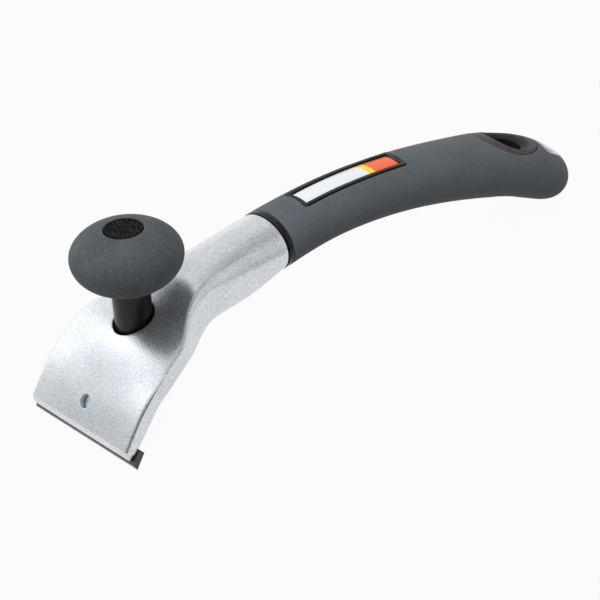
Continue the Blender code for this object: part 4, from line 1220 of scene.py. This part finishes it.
def plug_finish():
    """Plug in the knob: black, with short pale scratches crossing two ways over a fine grain."""
    finish = Finish("plug plastic", specular_ior_level=0.05)
    one = finish.noise(0.5, 3.0, 0.7, (0.35, 3.0, 1.0), (0.0, 0.0, 0.6))
    other = finish.noise(0.5, 3.0, 0.7, (3.0, 0.35, 1.0), (0.0, 0.0, 0.3))
    fine = finish.noise(0.16)
    scratch = one.most(other).ramp(0.58, 0.68)
    colour = finish.mix(scratch * (0.3 + 0.7 * fine), shade(10, 10, 11), shade(150, 150, 151))
    return finish.done(colour, 0.6 + 0.2 * fine, scratch * 0.8 + fine * 0.2, 0.12)


def label_finish():
    """Printed label under a clear film: a white field, a narrow yellow one, an orange one and a dark rim."""
    finish = Finish("printed label", coat_weight=0.25, coat_roughness=0.12)
    along = finish.field("print_along")
    across = finish.field("print_across")
    fine = finish.noise(0.3)
    white = finish.mix(fine, shade(224, 229, 235), shade(238, 242, 246))
    yellow = finish.mix(fine, shade(250, 208, 12), shade(255, 222, 30))
    orange = finish.mix(fine, shade(238, 88, 36), shade(248, 102, 48))
    slant = along + across * 0.05
    colour = finish.mix(slant > YELLOW_START, white, yellow)
    colour = finish.mix(slant > ORANGE_START, colour, orange)
    from_middle = abs(along - FRAME_MIDDLE)
    ends = from_middle.ramp(LABEL_LENGTH / 2 - 0.4, LABEL_LENGTH / 2 - 0.2)
    rim = abs(across).ramp(LABEL_WIDTH / 2 - 0.25, LABEL_WIDTH / 2 - 0.1).most(ends)
    colour = finish.mix(rim * 0.8, colour, shade(60, 61, 64))
    return finish.done(colour, 0.32 + 0.1 * fine, fine, 0.01)


FINISHES = {
    "cast_aluminium": cast_finish(),
    "carbide": carbide_finish(),
    "clamp_steel": steel_finish(),
    "zinc_steel": zinc_finish(),
    "black_plastic": plastic_finish(),
    "plug_plastic": plug_finish(),
    "bezel_plastic": bezel_finish(),
    "knob_rubber": rubber_finish("knob rubber", shade(64, 70, 74), shade(76, 82, 86), 0.5),
    "grip_rubber": rubber_finish("grip rubber", shade(82, 88, 93), shade(90, 96, 101), 0.25),
    "label_print": label_finish(),
    "cap_steel": cap_finish(),
}


def make_piece(name, parts, slot, body, *nodes, fields=None):
    """Join surfaces into one welded mesh in metres, give it its finish, and ride it on a body."""
    starts = np.cumsum([0] + [len(points) for points, _ in parts])
    points = np.concatenate([points for points, _ in parts])
    quads = np.concatenate([quads + start for (_, quads), start in zip(parts, starts)])
    mesh = bpy.data.meshes.new(name)
    mesh.from_pydata(((points + (EDGE_X, 0.0, 0.0)) * MM).tolist(), [], quads.tolist())
    for key, values in (fields or {}).items():
        mesh.attributes.new(key, 'FLOAT', 'POINT').data.foreach_set("value", values)
    shape = bmesh.new()
    shape.from_mesh(mesh)
    bmesh.ops.remove_doubles(shape, verts=shape.verts, dist=0.002 * MM)
    stray = [edge for edge in shape.edges if not edge.link_faces]
    bmesh.ops.delete(shape, geom=stray, context='EDGES')
    bmesh.ops.recalc_face_normals(shape, faces=shape.faces)
    shape.to_mesh(mesh)
    shape.free()
    mesh.shade_smooth()
    mesh.set_sharp_from_angle(angle=math.radians(42.0))
    mesh.materials.append(FINISHES[slot])
    piece = bpy.data.objects.new(name, mesh)
    bpy.context.scene.collection.objects.link(piece)
    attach(piece, body)
    if nodes:
        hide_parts(*nodes)
    return piece


make_piece("head_casting", head_shell(), "cast_aluminium", "handle_and_head", "scraper_head")
make_piece("head_boss", boss_ring(), "cast_aluminium", "handle_and_head")
make_piece("blade_bar", blade_bar(), "carbide", "blade", "carbide_blade")
make_piece("clamp_plate", clamp_plate(), "clamp_steel", "clamp", "blade_clamp")
make_piece("spring_washer", lock_washer(), "zinc_steel", "clamp", "clamp_washer")
make_piece("screw_shank", screw_shank(), "zinc_steel", "screw", "clamp_screw")
make_piece("screw_head", screw_head(), "zinc_steel", "screw")
make_piece("knob_cover", knob_cover(), "knob_rubber", "knob", "knob_grip")
make_piece("knob_heart", knob_heart(), "black_plastic", "knob", "knob_core")
make_piece("knob_plug", knob_plug(), "plug_plastic", "knob", "knob_cap")
make_piece("stud_rod", stud_rod(), "zinc_steel", "knob", "knob_stud")
make_piece("knob_washer_ring", washer_ring(), "zinc_steel", "knob_carrier", "knob_washer")
make_piece("collar_ring", collar_ring(), "black_plastic", "handle_and_head", "front_collar")
make_piece("grip_sleeve", grip_shell(), "grip_rubber", "handle_and_head", "handle_grip")
make_piece("label_frame", label_frame(), "black_plastic", "handle_and_head")
parts, fields = label_shell()
make_piece("label_card", parts, "label_print", "handle_and_head", "label_plate", fields=fields)
parts, fields = bezel_ring()
make_piece("hole_bezel", parts, "bezel_plastic", "handle_and_head", "hang_hole_bezel", fields=fields)
make_piece("strike_cap", cap_shell(), "cap_steel", "handle_and_head", "hammer_cap")
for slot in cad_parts["handle_core"].material_slots:
    slot.material = FINISHES["black_plastic"]


def make_floor():
    """White table that runs out of view; seen directly or in a reflection it is white, with a soft shadow."""
    side = 4.0
    mesh = bpy.data.meshes.new("table")
    corners = [(-side, -side, 0.0), (side, -side, 0.0), (side, side, 0.0), (-side, side, 0.0)]
    mesh.from_pydata(corners, [], [(0, 1, 2, 3)])
    finish = Finish("white table", base_color=shade(135, 135, 135), roughness=0.8)
    glow = finish.node("Emission", {}, {"Color": (1.0, 1.0, 1.0, 1.0), "Strength": 1.0})
    seen = finish.ray("Camera").most(finish.ray("Glossy")).most(finish.ray("Transmission")) * 0.95
    cover = finish.node("MixShader", {}, {0: seen, 1: Number(finish, finish.shader.outputs[0]), 2: glow})
    finish.feed(finish.tree.nodes["Material Output"].inputs["Surface"], cover)
    mesh.materials.append(finish.material)
    table = bpy.data.objects.new("table", mesh)
    bpy.context.scene.collection.objects.link(table)


class Room(Finish):
    """The world in the making: its light comes from one Background node."""

    def __init__(self, name):
        self.world = bpy.data.worlds.new(name)
        self.world.use_nodes = True
        self.tree = self.world.node_tree
        self.shader = self.tree.nodes["Background"]
        self.spot = self.node("TexCoord", {}, {}, "Generated")

    def toward(self, way):
        """How nearly the light's direction points one way: 1 along it, 0 square to it."""
        return self.node("VectorMath", {"operation": 'DOT_PRODUCT'}, {0: self.spot, 1: way}, "Value")


# Ways from the tool to the camera and along the picture's right, and the camera's place in metres
CAMERA_WAY = (-0.4776, -0.6975, 0.5342)
CAMERA_RIGHT = (0.7738, -0.6219, -0.1202)
CAMERA_PLACE = (-0.9253, -1.3336, 1.0309)


def make_room():
    """Even studio light, white where it is seen directly.

    In a reflection it is darker toward the camera, paler toward the back and palest in a
    soft strip there. The light that it spreads comes mostly from above.
    """
    room = Room("studio")
    front = room.toward(CAMERA_WAY)
    back = room.toward((0.0, 1.0, 0.0))
    lift = room.toward((0.55, 0.25, 0.8))
    edge = room.toward((0.55, 0.6, 0.6))
    above = room.toward((-0.45, 0.23, 0.86))
    strip = edge.ramp(0.27, 0.38) * (1.0 - lift.ramp(0.36, 0.72)) * back.ramp(-0.1, 0.3)
    pale = 0.38 * back.ramp(0.0, 0.7) * lift.ramp(0.0, 0.5) + 0.7 * strip
    mirrored = 0.47 + pale - 0.4 * front.ramp(0.25, 0.95)
    spread = 0.34 + 0.9 * above.ramp(0.0, 1.0)
    level = spread + room.ray("Glossy") * (mirrored - spread)
    seen = room.ray("Camera").most(room.ray("Transmission"))
    room.feed(room.shader.inputs["Color"], (1.0, 1.0, 1.0, 1.0))
    room.feed(room.shader.inputs["Strength"], level + seen * (1.0 - level))
    bpy.context.scene.world = room.world


def put(thing, place, back, right):
    """Stand a lamp or a camera at a place, with its back and its right side turned these ways."""
    back = np.array(back) / np.linalg.norm(back)
    right = np.array(right) - back * np.dot(right, back)
    right /= np.linalg.norm(right)
    turn = np.eye(4)
    turn[:3] = np.stack([right, np.cross(back, right), back, place], axis=1)
    thing.matrix_world = Matrix(turn.tolist())
    bpy.context.scene.collection.objects.link(thing)


def make_lamp(name, place, aim, size, power):
    """A square soft lamp at a place, turned toward a point."""
    light = bpy.data.lights.new(name, 'AREA')
    light.size = size
    light.energy = power
    back = np.subtract(place, aim)
    put(bpy.data.objects.new(name, light), place, back, np.cross([0.0, 0.0, 1.0], back))


def make_camera():
    """Camera at the photograph's view: a long lens from the blade's right, above, and rolled a little."""
    lens = bpy.data.cameras.new("camera")
    lens.lens = 300.0
    lens.sensor_width = 36.0
    camera = bpy.data.objects.new("camera", lens)
    put(camera, CAMERA_PLACE, CAMERA_WAY, CAMERA_RIGHT)
    bpy.context.scene.camera = camera


make_floor()
make_room()
LAMP_AIM = (0.0, 0.0, 0.04)
make_lamp("key lamp", (-0.67, 0.34, 1.27), LAMP_AIM, 2.0, 6.0)
make_lamp("fill lamp", (0.6, -1.0, 0.9), LAMP_AIM, 1.4, 3.0)
make_camera()
bpy.context.scene.view_settings.view_transform = 'Standard'
